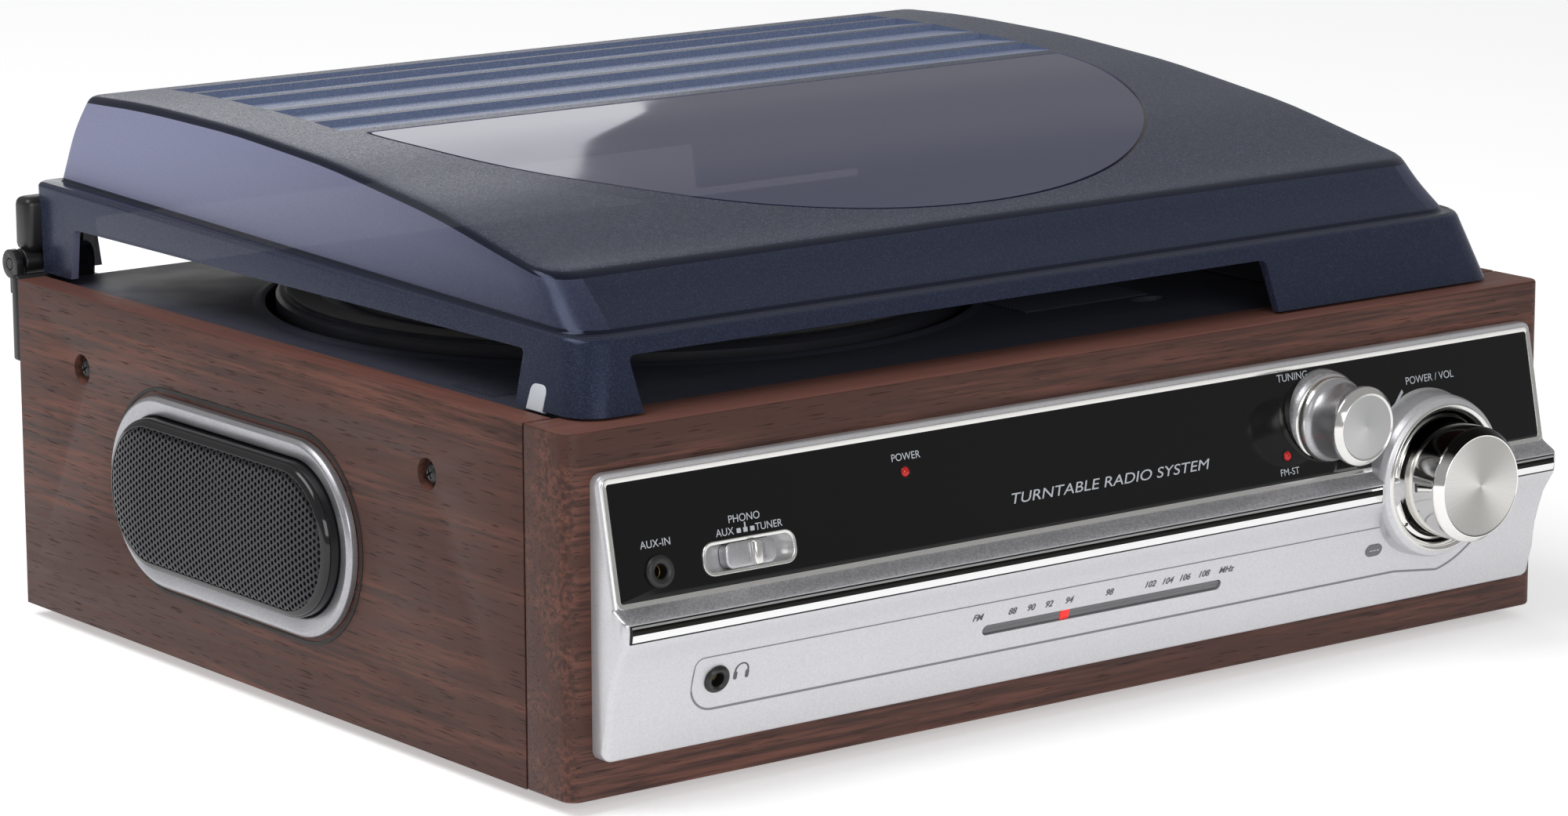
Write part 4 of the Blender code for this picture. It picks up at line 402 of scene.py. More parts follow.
# Painted shade: near-black for the volume ring's gap, the sockets' bores and the ring round each speaker
# bezel.
PAINTED_SHADE_BLACK = moulded("painted_shade_black", tone(7, 7, 8), 0.55)
DECK_GREY = moulded("deck_grey", tone(60, 62, 74), 0.5, 0.0006, 0.00009, Specular_IOR_Level=0.3)
PLATTER_GREY = moulded("platter_grey", tone(52, 53, 60), 0.32, 0.0004, 0.00003)
GRILLE_BLACK = moulded("grille_black", tone(40, 40, 45), 0.26, 0.0006, 0.00002, 0.12, Metallic=0.5)
GRILLE_EDGE = moulded("grille_edge", tone(20, 20, 22), 0.10, 0.002, 0.00001)
CONE_PAPER = moulded("cone_paper", tone(26, 26, 28), 0.70, 0.0009, 0.00012)
RUBBER = moulded("rubber", tone(22, 22, 22), 0.80, 0.0008, 0.0001)
FELT = moulded("felt", tone(36, 36, 40), 0.95, 0.0004, 0.0003, 0.35, Sheen_Weight=0.3)
CLEAR_RUBBER = moulded("clear_rubber", tone(196, 200, 208), 0.22, 0.003, 0.00002, 0.04)
INK = moulded("label_ink", tone(176, 180, 186), 0.45, 0.0009, 0.0, 0.05)
DIAL_INK = moulded("dial_ink", tone(82, 82, 86), 0.50, 0.0009, 0.0, 0.05)
# Painted shadow: the grey of the engraved lines' shadow on the silver fascia.
GROOVE = moulded("groove_shadow", tone(120, 120, 124), 0.45, 0.0009, 0.0, 0.05)
DIAL_GREY = moulded("dial_grey", tone(98, 98, 100), 0.22, 0.002, 0.00001, 0.06)
FIBREBOARD = moulded("fibreboard", tone(108, 84, 62), 0.85, 0.0011, 0.00015, 0.3)
CIRCUIT = moulded("circuit_board", tone(24, 84, 44), 0.35, 0.003, 0.00005, 0.3)
LAMINATION = moulded("lamination_steel", tone(78, 78, 82), 0.45, 0.0007, 0.00006, 0.2, Metallic=0.8)
RED_LENS = moulded("red_lens", tone(170, 12, 10), 0.10, 0.002, 0.00001, 0.1,
                   Emission_Color=tone(255, 20, 8), Emission_Strength=0.05)
RED_GLOW = moulded("red_glow", tone(215, 24, 14), 0.3, 0.002, 0.00001, 0.1,
                   Emission_Color=tone(255, 24, 10), Emission_Strength=0.45)
STYLUS_RED = moulded("stylus_red", tone(150, 18, 16), 0.25)
STEEL = turned_metal("steel", tone(196, 196, 198), 0.22)
BRASS = turned_metal("brass", tone(196, 160, 84), 0.28)
print("materials so far:", len(bpy.data.materials))

# %% [markdown]
# ## From points to pieces
# Most pieces are built from points and faces worked out here. One helper makes the object, gives it
# its paints, smooths its curved faces but keeps sharp edges crisp, and lets it ride with its body.

# %% Making an object


def dress(piece, body, sharp=32):
    """Smooth shading with crisp edges, and the body it moves with."""
    if piece.type == "MESH":
        piece.data.shade_smooth()
        piece.data.set_sharp_from_angle(angle=math.radians(sharp))
    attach(piece, body)
    return piece


def shown(name, mesh, *paints):
    """Puts a mesh with its paints in the scene."""
    for paint in paints:
        mesh.materials.append(paint)
    piece = bpy.data.objects.new(name, mesh)
    bpy.context.scene.collection.objects.link(piece)
    return piece


def make(name, points, faces, paints, picks=None):
    """A mesh object from points and faces. picks gives each face's paint."""
    mesh = bpy.data.meshes.new(name)
    mesh.from_pydata([tuple(p) for p in points], [], faces)
    piece = shown(name, mesh, *paints)
    if picks:
        mesh.polygons.foreach_set("material_index", picks)
    build = bmesh.new()
    build.from_mesh(mesh)
    bmesh.ops.recalc_face_normals(build, faces=build.faces)
    build.to_mesh(mesh)
    build.free()
    return piece


def settle(piece):
    """Applies the piece's modifiers, so that its mesh is what shows."""
    graph = bpy.context.evaluated_depsgraph_get()
    piece.data = bpy.data.meshes.new_from_object(piece.evaluated_get(graph))
    piece.modifiers.clear()
    piece.data.name = piece.name
    return piece


def carve(piece, *tools, how="DIFFERENCE"):
    """Takes the tools' shapes out of the piece, or keeps what they share with it."""
    for tool in tools:
        cut = piece.modifiers.new("carve", "BOOLEAN")
        cut.operation, cut.solver, cut.object = how, "EXACT", tool
    settle(piece)
    for tool in tools:
        bpy.data.objects.remove(tool)
    return piece


def ease_edges(piece, width, above=30, steps=3):
    """Rounds the edges that are sharper than an angle."""
    rounding = piece.modifiers.new("ease", "BEVEL")
    rounding.width, rounding.segments = width, steps
    rounding.limit_method, rounding.angle_limit = "ANGLE", math.radians(above)
    rounding.use_clamp_overlap = True
    return settle(piece)


def body_of(node):
    return next(b for b, nodes in frame["record"]["behaviour"]["bodies"].items() if node in nodes)


def softened(node, width, paint, above=30):
    """A copy of a solid with its edges rounded, shown in its place."""
    mesh = frame["nodes"][node].data.copy()
    build = bmesh.new()
    build.from_mesh(mesh)
    bmesh.ops.remove_doubles(build, verts=build.verts, dist=0.000005)
    bmesh.ops.dissolve_limit(build, angle_limit=math.radians(1.5), verts=build.verts,
                             edges=build.edges)
    build.to_mesh(mesh)
    build.free()
    mesh.materials.clear()
    piece = shown(f"{node}_finish", mesh, paint)
    ease_edges(piece, width, above)
    dress(piece, body_of(node))
    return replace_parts(piece, node)


def repaint(paint, *nodes):
    for node in nodes:
        slots = frame["nodes"][node].data.materials
        slots.clear()
        slots.append(paint)


print("helpers ready")

# %% [markdown]
# ## Lines with eased corners, and turned pieces
# Nothing moulded has a knife edge. A profile is written as (a, b, ease): the third number is the
# corner's radius. Knobs, rings and the platter are such a profile spun round an axis.

# %% Profiles and the lathe


def bend(before, corner, after, radius, steps=4, share=0.48):
    """The points of a curve that cuts a corner off, at most a share of either side long."""
    reach = min(radius, (before - corner).length * share, (after - corner).length * share)
    start = corner + (before - corner).normalized() * reach
    end = corner + (after - corner).normalized() * reach
    shares = [s / steps for s in range(steps + 1)]
    return [start * (1 - t) ** 2 + corner * (2 * t * (1 - t)) + end * t ** 2 for t in shares]


def eased(profile, steps=4, closed=False):
    """The profile's points with its corners rounded by their own radius."""
    points = [Vector(p[:2]) for p in profile]
    radii = [p[2] if len(p) > 2 else 0.0 for p in profile]
    count, done = len(points), []
    for i, (corner, radius) in enumerate(zip(points, radii)):
        if not radius or (not closed and i in (0, count - 1)):
            done.append(corner)
        else:
            done += bend(points[i - 1], corner, points[(i + 1) % count], radius, steps)
    return done


def lathe(name, profile, centre, aim, paints, pick=None, sides=96, closed=False):
    """Spins (radius, height) points, in millimetres, about an axis through centre."""
    line = eased(profile, closed=closed)
    turn = Vector(aim).to_track_quat("Z", "Y").to_matrix()
    points, rows = [], []
    for radius, height in line:
        row = []
        for s in range(sides if radius > 0.001 else 1):
            a = 2 * math.pi * s / sides
            row.append(len(points))
            at = Vector((radius * math.cos(a), radius * math.sin(a), height))
            points.append(Vector(centre) + turn @ at * MM)
        rows.append(row)
    faces, picks = [], []
    pairs = list(zip(rows, rows[1:])) + ([(rows[-1], rows[0])] if closed else [])
    for index, (upper, lower) in enumerate(pairs):
        middle = (line[index] + line[(index + 1) % len(line)]) / 2
        for s in range(sides):
            n = (s + 1) % sides
            face = [upper[s % len(upper)], upper[n % len(upper)],
                    lower[n % len(lower)], lower[s % len(lower)]]
            face = list(dict.fromkeys(face))
            if len(face) > 2:
                faces.append(face)
                picks.append(pick(middle.x, middle.y) if pick else 0)
    return make(name, points, faces, paints, picks)


print("an eased corner has", len(eased([(0, 0), (1, 0, 0.2), (1, 1)])), "points")

# %% [markdown]
# ## Rounded outlines, plates and mouldings
# Bezels, pans and panes start from a rounded outline. A plate fills it and rounds its rim; a
# moulding carries a cross-section round it. Both are laid on the object by a matrix whose columns
# are the outline's two directions and the way out.

# %% Outlines, plates and mouldings


def rounded(width, height, radius, steps=10):
    """A rectangle with round corners about its middle, anticlockwise, in millimetres."""
    line = []
    for quarter, (x, y) in enumerate(((1, 1), (-1, 1), (-1, -1), (1, -1))):
        for s in range(steps + 1):
            a = math.pi / 2 * (quarter + s / steps)
            line.append(Vector((x * (width / 2 - radius) + radius * math.cos(a),
                                y * (height / 2 - radius) + radius * math.sin(a))))
    return line


def outward(line):
    """The way out at each point of an anticlockwise outline."""
    ways = []
    for i, point in enumerate(line):
        along = (line[(i + 1) % len(line)] - line[i - 1]).normalized()
        ways.append(Vector((along.y, -along.x)))
    return ways


def facing(origin, across, up):
    """A matrix that lays (across, up, out) millimetres on the object at origin."""
    across, up = Vector(across).normalized(), Vector(up).normalized()
    out = across.cross(up)
    turn = Matrix((across, up, out)).transposed() * MM
    return Matrix.Translation(origin) @ turn.to_4x4()


def out_of(lay):
    return lay.to_3x3() @ Vector((0, 0, 1))


def plate(name, line, low, high, ease, lay, paints):
    """A filled outline from low to high, its upper rim rounded."""
    ways, steps = outward(line), 4
    turns = [math.pi / 2 * s / steps for s in range(steps + 1)]
    levels = [(0.0, low)] + [
        (ease * (1 - math.cos(a)), high - ease + ease * math.sin(a)) for a in turns]
    count, points, faces = len(line), [], []
    for inset, level in levels:
        points += [lay @ Vector((*(p - w * inset), level)) for p, w in zip(line, ways)]
    for r in range(len(levels) - 1):
        for i in range(count):
            n = (i + 1) % count
            faces.append([r * count + i, r * count + n, (r + 1) * count + n, (r + 1) * count + i])
    faces += [list(range(count))[::-1], list(range((len(levels) - 1) * count, len(levels) * count))]
    return make(name, points, faces, paints)


def moulding(name, line, section, lay, paints):
    """Carries a closed (outward, up, ease) section round a closed outline."""
    ring, ways = eased(section, closed=True), outward(line)
    size, points, faces = len(ring), [], []
    for point, way in zip(line, ways):
        points += [lay @ Vector((*(point + way * out), up)) for out, up in ring]
    for i in range(len(line)):
        for k in range(size):
            a, b = i * size, ((i + 1) % len(line)) * size
            n = (k + 1) % size
            faces.append([a + k, b + k, b + n, a + n])
    return make(name, points, faces, paints)


def bar(name, low, high, lay, paints, ease=0.0):
    """A block between two corners in the lay's own directions, with eased edges."""
    build = bmesh.new()
    bmesh.ops.create_cube(build, size=1.0)
    low, high = Vector(low), Vector(high)
    for vert in build.verts:
        vert.co = Vector(low[i] if vert.co[i] < 0 else high[i] for i in range(3))
    build.transform(lay)
    mesh = bpy.data.meshes.new(name)
    build.to_mesh(mesh)
    build.free()
    piece = shown(name, mesh, *paints)
    return ease_edges(piece, ease * MM) if ease else piece


SIDES = {
    "left": (-1, facing(Vector((-SIDE, FRONT, UNDER)), (0, -1, 0), (0, 0, 1))),
    "right": (1, facing(Vector((SIDE, FRONT, UNDER)), (0, 1, 0), (0, 0, 1))),
}
FRONT_LAY = facing(spot(0, 0, 0), (1, 0, 0), (0, 0, 1))
TOP_LAY = facing(spot(0, 0, 0), (1, 0, 0), (0, 1, 0))
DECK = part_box("deck_plate")[1].z
DECK_LAY = facing(Vector((0, FRONT, DECK)), (1, 0, 0), (0, 1, 0))
print("outline of", len(rounded(10, 10, 2)), "points")

# %% [markdown]
# ## The wooden box
# Five boards. The solids have the right size, so copies of them get a small radius on every edge,
# as veneer always has, and the grain runs along each board.

# %% Wooden box
for node in ("side_panel_left", "side_panel_right"):
    softened(node, 0.0006, WALNUT_SIDE)
softened("front_frame", 0.0007, WALNUT_FRONT)
repaint(FIBREBOARD, "rear_panel", "bottom_board")
repaint(RUBBER, *(f"foot_{end}_{side}" for end in ("front", "rear") for side in SIDES), "drive_belt")


def wood_screw(side, end, deep, up):
    """A black cross-head screw sunk in its hole."""
    way, lay = SIDES[side]
    centre = lay @ Vector((way * deep, up, -2.2))
    head = lathe(f"screw_{end}_{side}",
                 [(0, 1.5), (1.6, 1.35, 0.5), (2.9, 0.4, 0.3), (2.9, -0.5), (0, -0.5)],
                 centre, out_of(lay), [PLASTIC_BLACK], sides=40)
    spin = Matrix.Translation(centre) @ lay.to_3x3().to_4x4() @ Matrix.Rotation(0.5, 4, "Z")
    carve(head, bar("slot", (-1.5, -0.3, 0.6), (1.5, 0.3, 2.5), spin, []),
          bar("slot_across", (-0.3, -1.5, 0.6), (0.3, 1.5, 2.5), spin, []))
    return dress(head, "cabinet")


for side in SIDES:
    for end, deep in (("front", 61.9), ("rear", 235.4)):
        wood_screw(side, end, deep, 74.2)
print("screws: 4")

# %% [markdown]
# ## Speakers in the sides
# A satin silver moulding holds a domed steel grille, punched all over with small round holes in
# rows, over a paper cone. The holes are real: the sheet is a honeycomb of small rings. A rolled
# shiny rim hides where the honeycomb ends.

# %% Grille sheet
OPEN_LENGTH, OPEN_HEIGHT = 111.0, 42.6
SPEAKER_DEEP, SPEAKER_UP = 155.9, 46.8
PITCH, HOLE, SHEET = 1.9, 0.62, 0.5


def rim_distance(x, y):
    """How far a point lies inside the opening's rounded end or side."""
    straight = OPEN_LENGTH / 2 - OPEN_HEIGHT / 2
    return OPEN_HEIGHT / 2 - math.hypot(max(abs(x) - straight, 0.0), y)


def dome(x, y):
    """The sheet's height: a quick roll at the rim, then a gentle crown."""
    d = max(rim_distance(x, y), 0.0)
    roll = math.sqrt(1 - (1 - min(d / 4.0, 1.0)) ** 2)
    rise = 1 - (1 - min(d / (OPEN_HEIGHT / 2), 1.0)) ** 2
    return 3.2 + 3.4 * roll + 1.4 * rise


def honeycomb(lay, name):
    """The punched sheet: for each hole a ring of six corners and a wall down its edge."""
    points, faces, index = [], [], {}

    def corner(x, y, drop=0.0):
        key = (round(x, 3), round(y, 3), drop)
        if key not in index:
            index[key] = len(points)
            points.append(lay @ Vector((x, y, dome(x, y) - drop)))
        return index[key]

    reach, step = PITCH / math.sqrt(3), PITCH * math.sqrt(3) / 2
    holes = 0
    for column in range(-40, 41):
        for row in range(-14, 15):
            x, y = column * step, (row + 0.5 * (column % 2)) * PITCH
            if rim_distance(x, y) < 1.5:
                continue
            holes += 1
            spokes = [math.radians(30 * k) for k in range(12)]
            outer = [reach * (1.0 if k % 2 == 0 else math.sqrt(3) / 2) for k in range(12)]
            wide = [corner(x + r * math.cos(a), y + r * math.sin(a)) for r, a in zip(outer, spokes)]
            lip, wall = (
                [corner(x + HOLE * math.cos(a), y + HOLE * math.sin(a), drop) for a in spokes]
                for drop in (0.0, SHEET))
            for k in range(12):
                n = (k + 1) % 12
                faces += [[wide[k], wide[n], lip[n], lip[k]], [lip[k], lip[n], wall[n], wall[k]]]
    print(name, "has", holes, "holes")
    mesh = bpy.data.meshes.new(name)
    mesh.from_pydata(points, [], faces)
    return shown(name, mesh, GRILLE_BLACK)


# %% Speaker pieces


def speaker(side):
    way, base = SIDES[side]
    lay = base @ Matrix.Translation((way * SPEAKER_DEEP, SPEAKER_UP, 0))
    sheet = honeycomb(lay, f"speaker_sheet_{side}")
    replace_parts(dress(sheet, "cabinet", 50), f"speaker_grille_{side}")
    opening = rounded(OPEN_LENGTH, OPEN_HEIGHT, OPEN_HEIGHT / 2, 20)
    rolled = [(-0.1, 0.2), (-0.1, 5.0, 0.6), (-0.7, 6.2, 0.6), (-2.3, 6.8, 0.3), (-2.3, 5.9),
              (-1.0, 0.2)]
    dress(moulding(f"speaker_roll_{side}", opening, rolled, lay, [GRILLE_EDGE]),
          "cabinet")
    section = [(-1.55, -6.0), (-1.55, 0.15), (-0.05, 0.15), (-0.05, 1.2, 0.3), (0.4, 2.2, 0.4),
               (4.5, 3.0, 0.5), (5.6, 2.0, 0.4), (5.75, 0.25), (0.1, 0.25), (0.1, -6.0)]
    ring = moulding(f"speaker_bezel_finish_{side}", opening, section, lay, [BEZEL_SILVER])
    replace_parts(dress(ring, "cabinet"), f"speaker_bezel_{side}")
    # Painted shadow: a thin near-black ring round the bezel stands for the shadow gap at its edge.
    shadow = [(7.0, 0.02), (7.0, 0.22), (7.9, 0.22, 0.1), (7.9, 0.02)]
    dress(moulding(f"speaker_shadow_ring_{side}", opening, shadow, lay, [PAINTED_SHADE_BLACK]),
          "cabinet")
    cone = [(0, -4.6), (4.5, -5.2, 1.5), (8, -7.4, 0.8), (19.5, -1.4, 1.0), (21.5, 0.5, 1.2),
            (24, -0.4, 0.6), (25.5, -0.3), (25.5, -2.2), (0, -9.0)]
    dress(lathe(f"speaker_cone_{side}", cone, lay @ Vector((0, 0, -9.4)), out_of(lay), [CONE_PAPER]),
          "cabinet")
    repaint(LAMINATION, f"speaker_driver_{side}")
    return ring


for side in SIDES:
    print(speaker(side).name)

# %% [markdown]
# ## The fascia's shape
# One silver moulding crosses the front. From its foot the skirt is slightly hollow, it swells into a
# band that carries a chrome strip, a grainy ledge lies on the band, and above it the front leans back
# behind the black window. A loft carries that profile across, drawn in at both ends for round corners.

# %% Fascia's profile
FASCIA_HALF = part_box("fascia")[1].x / MM
FOOT, SLOPE_FOOT, HEAD = 10.5, 51.0, 84.0
SLOPE_FOOT_OUT, HEAD_OUT = 9.7, 2.8
FASCIA_LINE = [
    (0, FOOT), (4.5, FOOT, 0.8), (5.2, 14), (6.4, 18), (6.9, 23), (7.4, 26), (8.5, 30), (10.5, 36),
    (12.0, 38.5), (13.4, 40.7), (14.5, 42.6, 0.8), (14.7, 46), (14.6, 48.4, 1.0), (11.5, 50.0, 1.0),
    (SLOPE_FOOT_OUT, SLOPE_FOOT, 0.4), (HEAD_OUT, HEAD, 1.0), (0, HEAD),
]
SLOPE = (SLOPE_FOOT_OUT - HEAD_OUT) / (HEAD - SLOPE_FOOT)


def reach_at(up):
    """How far the fascia stands out at a height."""
    outs, ups = zip(*(p[:2] for p in FASCIA_LINE[1:-1]))
    return float(np.interp(up, ups, outs))


def on_front(across, up, out=0.0):
    """A lay on the fascia's own surface: across, up its slope, and out of it."""
    at_ledge = SLOPE_FOOT - 1 < up < SLOPE_FOOT + 1
    lean = SLOPE if at_ledge else reach_at(up - 0.5) - reach_at(up + 0.5)
    lay = facing(spot(across, -reach_at(up), up), (1, 0, 0), (0, lean, 1))
    return lay @ Matrix.Translation((0, 0, out))


def fascia_shell():
    line, tall, corner, rim = eased(FASCIA_LINE, 3), HEAD - FOOT, 3, 1.3
    ends = []
    for step in range(9):
        a = math.pi / 18 * step
        x = FASCIA_HALF - corner + corner * math.sin(a)
        past = min(max(x - (FASCIA_HALF - rim), 0) / rim, 1.0)
        ends.append((x, corner * (1 - math.cos(a)), rim * (1 - math.sqrt(1 - past * past))))
    stations = [(-x, inset, drop) for x, inset, drop in ends[::-1]] + ends
    points, faces, picks = [], [], []
    for x, inset, drop in stations:
        for out, up in line:
            up = FOOT + inset + (up - FOOT) * (tall - 2 * inset) / tall
            points.append(spot(x, -max(out - drop, 0.0), up))
    size = len(line)
    for i in range(len(stations) - 1):
        for k in range(size - 1):
            a, b = i * size + k, (i + 1) * size + k
            faces.append([a, b, b + 1, a + 1])
            middle = (line[k] + line[k + 1]) / 2
            picks.append(1 if 47.9 < middle.y < 51.1 else 0)
        faces.append([i * size, i * size + size - 1, (i + 1) * size + size - 1, (i + 1) * size])
        picks.append(0)
    last = (len(stations) - 1) * size
    faces += [list(range(size)), list(range(last, last + size))]
    return make("fascia_finish", points, faces, [SILVER, GRANULAR], picks + [0, 0])


WINDOW = on_front(0, SLOPE_FOOT)
print("front stands out", round(reach_at(45), 1), "mm at the band")

# %% [markdown]
# ## Holes in the fascia
# The recess for the window, the switch's pan, both sockets and the dial's slot are cut from it, so
# each has a true edge and depth.

# %% Cut fascia and black window


def disc(name, radius, depth, lay):
    """A round cutter through a lay's plane."""
    return plate(name, rounded(2 * radius, 2 * radius, radius, 8), -depth, depth, 0.0, lay, [])


SWITCH_AT, AUX_AT, PHONES_AT = (-119.35, 59.1), (-147.7, 58.5), (-130.0, 28.0)
DIAL_AT = (-0.5, 26.6)


def front_holes():
    return [
        plate("pan_hole", rounded(29.6, 8.8, 3.5), -3.4, 4, 0.0, on_front(*SWITCH_AT), []),
        disc("aux_hole", 3.2, 9, on_front(*AUX_AT)),
    ]


shell = carve(
    fascia_shell(), *front_holes(),
    bar("recess", (-160.9, 0.7, -1.5), (160.9, 31.5, 4), WINDOW, []),
    disc("phones_hole", 3.2, 9, on_front(*PHONES_AT)),
    plate("dial_hole", rounded(84.1, 3.0, 1.5), -1.8, 3, 0.0, on_front(*DIAL_AT), []),
)
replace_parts(dress(shell, "cabinet"), "fascia")
PANE = WINDOW @ Matrix.Translation((0, 16.1, 0))
pane = plate("fascia_window_finish", rounded(321.4, 30.4, 1.0), -1.45, -0.1, 0.35, PANE,
             [GLOSS_BLACK])
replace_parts(dress(carve(pane, *front_holes()), "cabinet"), "fascia_window")
edge = [(-0.7, -0.9), (-0.7, 0.05, 0.15), (0.75, 0.28, 0.2), (0.95, -0.9)]
dress(moulding("fascia_window_border", rounded(322.4, 31.4, 1.5), edge, PANE, [POLISHED_SILVER]),
      "cabinet")
print("fascia has", len(shell.data.polygons), "faces")

# %% [markdown]
# ## Chrome strip
# The strip is pressed foil: two long facets that meet in a crest. The upper one is painted dark, a
# painted reflection of the dark above it, and the lower one mirrors the pale table, with a thin black
# frame round both. It stops at the volume ring and starts again beyond it.

# %% Chrome strip
VOLUME_X, VOLUME_UP = 118.0, 47.0
CREST, FACET_END, STRIP_END, RING_REACH = 45.3, 46.9, 161.2, 23.6
STRIP_LAY = facing(spot(0, 0, 0), (0, -1, 0), (0, 0, 1))


def strip(side, start, stop):
    section = [Vector(p) for p in ((13.8, 43.3), (15.0, 43.4), (15.35, CREST), (15.15, FACET_END),
                                   (14.95, 47.4), (13.8, 47.5))]
    piece = plate(f"chrome_strip_finish_{side}", section, -stop, -start, 0.0, STRIP_LAY,
                  [CHROME, CHROME_PAINTED_DARK_REFLECTION])
    for face in piece.data.polygons:
        # Painted reflection: the forward-facing upper facet takes the dark chrome.
        upper = CREST < (face.center.z - UNDER) / MM < FACET_END
        face.material_index = 1 if upper and face.normal.y < -0.2 else 0
    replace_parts(dress(piece, "cabinet", 20), f"chrome_strip_{side}")
    back = bar(f"strip_frame_{side}", (start - 0.5, 42.9, 13.4), (stop + 0.5, 47.7, 14.85),
               FRONT_LAY, [GLOSS_BLACK], 0.2)
    dress(back, "cabinet")


strip("left", -STRIP_END, VOLUME_X - RING_REACH)
strip("right", VOLUME_X + RING_REACH, STRIP_END)
print("strips laid")

# %% [markdown]
# ## Volume control
# A flared silver ring carries a polished lip. Inside it a gap painted black as shade, then the knob: a
# chrome skirt with a notch and a dimple, a tall chrome barrel and a spun face. Chrome under a wide
# lamp shows the dark room in its upper half and the table in its lower half, so that reflection is
# painted on the skirt and barrel: dark where they face up, bright where they face down.

# %% Volume ring and knob


def painted_reflection_chrome(name, edge, spread=0.12):
    """Chrome with a painted reflection: dark where it faces up, bright where it faces down."""
    paint = Paint(name, tone(225, 225, 225), 0.07, 1.0)
    across, _, up = paint.facing()
    wear = paint.cloud(0.003, detail=3)
    # Painted reflection: dark where the surface faces up and a little to the side; the wear noise wobbles
    # that line.
    lean = up + across * 0.35 + wear * 0.06
    paint.give("Base Color", paint.blend(lean.between(edge - spread, edge + spread),
                                         tone(236, 235, 232), tone(30, 29, 28)))
    paint.give("Roughness", wear.between(0.3, 0.7, 0.05, 0.10))
    return paint.material


BARREL = painted_reflection_chrome("chrome_barrel_painted_reflection", 0.28)
VOLUME_FACE = spun("spun_volume", spot(VOLUME_X, -30, VOLUME_UP), tone(206, 204, 200), 2.0, 0.7,
                   0.42)
VOLUME_AT, TOWARDS = spot(VOLUME_X, 0, VOLUME_UP), (0, -1, 0)
ring_line = [(16.0, 8.6), (18.4, 8.6, 0.3), (18.6, 13.9, 0.3), (19.3, 15.4, 0.3), (20.5, 15.9, 0.3),
             (20.9, 15.2, 0.2), (22.2, 14.6, 0.5), (22.9, 12.6, 0.5), (23.2, 7.0, 0.8), (24.2, 4.5, 0.8),
             (24.3, 2.0)]
# Index 2, the ring's inner wall, is painted near-black as shade in the gap; index 1 is the polished lip.
pick_ring = lambda r, h: 2 if r < 18.8 and h < 14.2 else 1 if r < 20.9 else 0
ring = lathe("volume_ring_finish", ring_line, VOLUME_AT, TOWARDS,
             [SILVER, POLISHED_SILVER, PAINTED_SHADE_BLACK], pick_ring)
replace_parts(dress(ring, "cabinet"), "volume_escutcheon")

knob_line = [(0, 29.5), (13.9, 29.5, 0.3), (14.3, 29.7, 0.3), (16.2, 27.2, 0.6), (16.4, 14.4, 0.4),
             (16.9, 13.6, 0.3), (18.2, 13.2, 0.4), (18.3, 10.0), (0, 10.0)]
pick_knob = lambda r, h: 1 if r < 14.0 and h > 29 else 0
knob = lathe("volume_knob_finish", knob_line, VOLUME_AT, TOWARDS,
             [BARREL, VOLUME_FACE], pick_knob)
at_knob = facing(VOLUME_AT, (1, 0, 0), (0, 0, 1))
carve(knob, bar("notch", (-18.6, -0.45, 12.4), (-16.7, 0.45, 14.5), at_knob, []),
      disc("dimple", 0.55, 1.0, at_knob @ Matrix.Translation((-12.6, -12.0, 13.2))))
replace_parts(dress(knob, "volume"), "volume_knob")
print("volume knob", len(knob.data.polygons), "faces")

# %% [markdown]
# ## Tuning control
# A granular collar with a bright lip, and a satin knob with a hollow waist and a chamfered head.

# %% Tuning collar and knob
TUNING_X, TUNING_UP = 80.5, 67.5
TUNING_AT = spot(TUNING_X, 0, TUNING_UP)
TUNING_FACE = spun("spun_tuning", spot(TUNING_X, -24, TUNING_UP), tone(186, 186, 186), 1.0, 2.2, 0.3)
collar = lathe("tuning_collar_finish",
               [(9.0, 8.2), (11.3, 8.3, 0.3), (12.2, 8.0, 0.4), (12.9, 6.6, 0.8), (13.2, 3.0)],
               TUNING_AT, TOWARDS, [GRANULAR, POLISHED_SILVER],
               lambda r, h: 1 if 11.0 < r < 12.3 else 0)
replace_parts(dress(collar, "cabinet"), "tuning_collar")
tuner = lathe("tuning_knob_finish",
              [(0, 23.0), (8.9, 23.0, 0.2), (9.3, 23.4, 0.3), (11.0, 21.6, 0.4), (11.0, 20.4, 0.6),
               (10.3, 17.6, 1.6), (10.0, 14.2, 1.6), (10.4, 11.6, 1.2), (11.6, 10.4, 0.5),
               (11.9, 9.4, 0.3), (11.9, 8.6), (0, 8.6)],
              TUNING_AT, TOWARDS, [SATIN, TUNING_FACE, POLISHED_SILVER],
              lambda r, h: 1 if r < 8.8 and h > 22 else 2 if h > 21.5 or h < 10.4 else 0)
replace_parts(dress(tuner, "tuning"), "tuning_knob")
print("tuning knob done")

# %% [markdown]
# ## Switch, sockets, lamps and dial
# Small parts that the eye checks first: the pan's polished rim, the cap's thumb ridge, a bore in each
# socket painted dark as shade, domed red lamps, and a grey lens with the red pointer glowing through it.

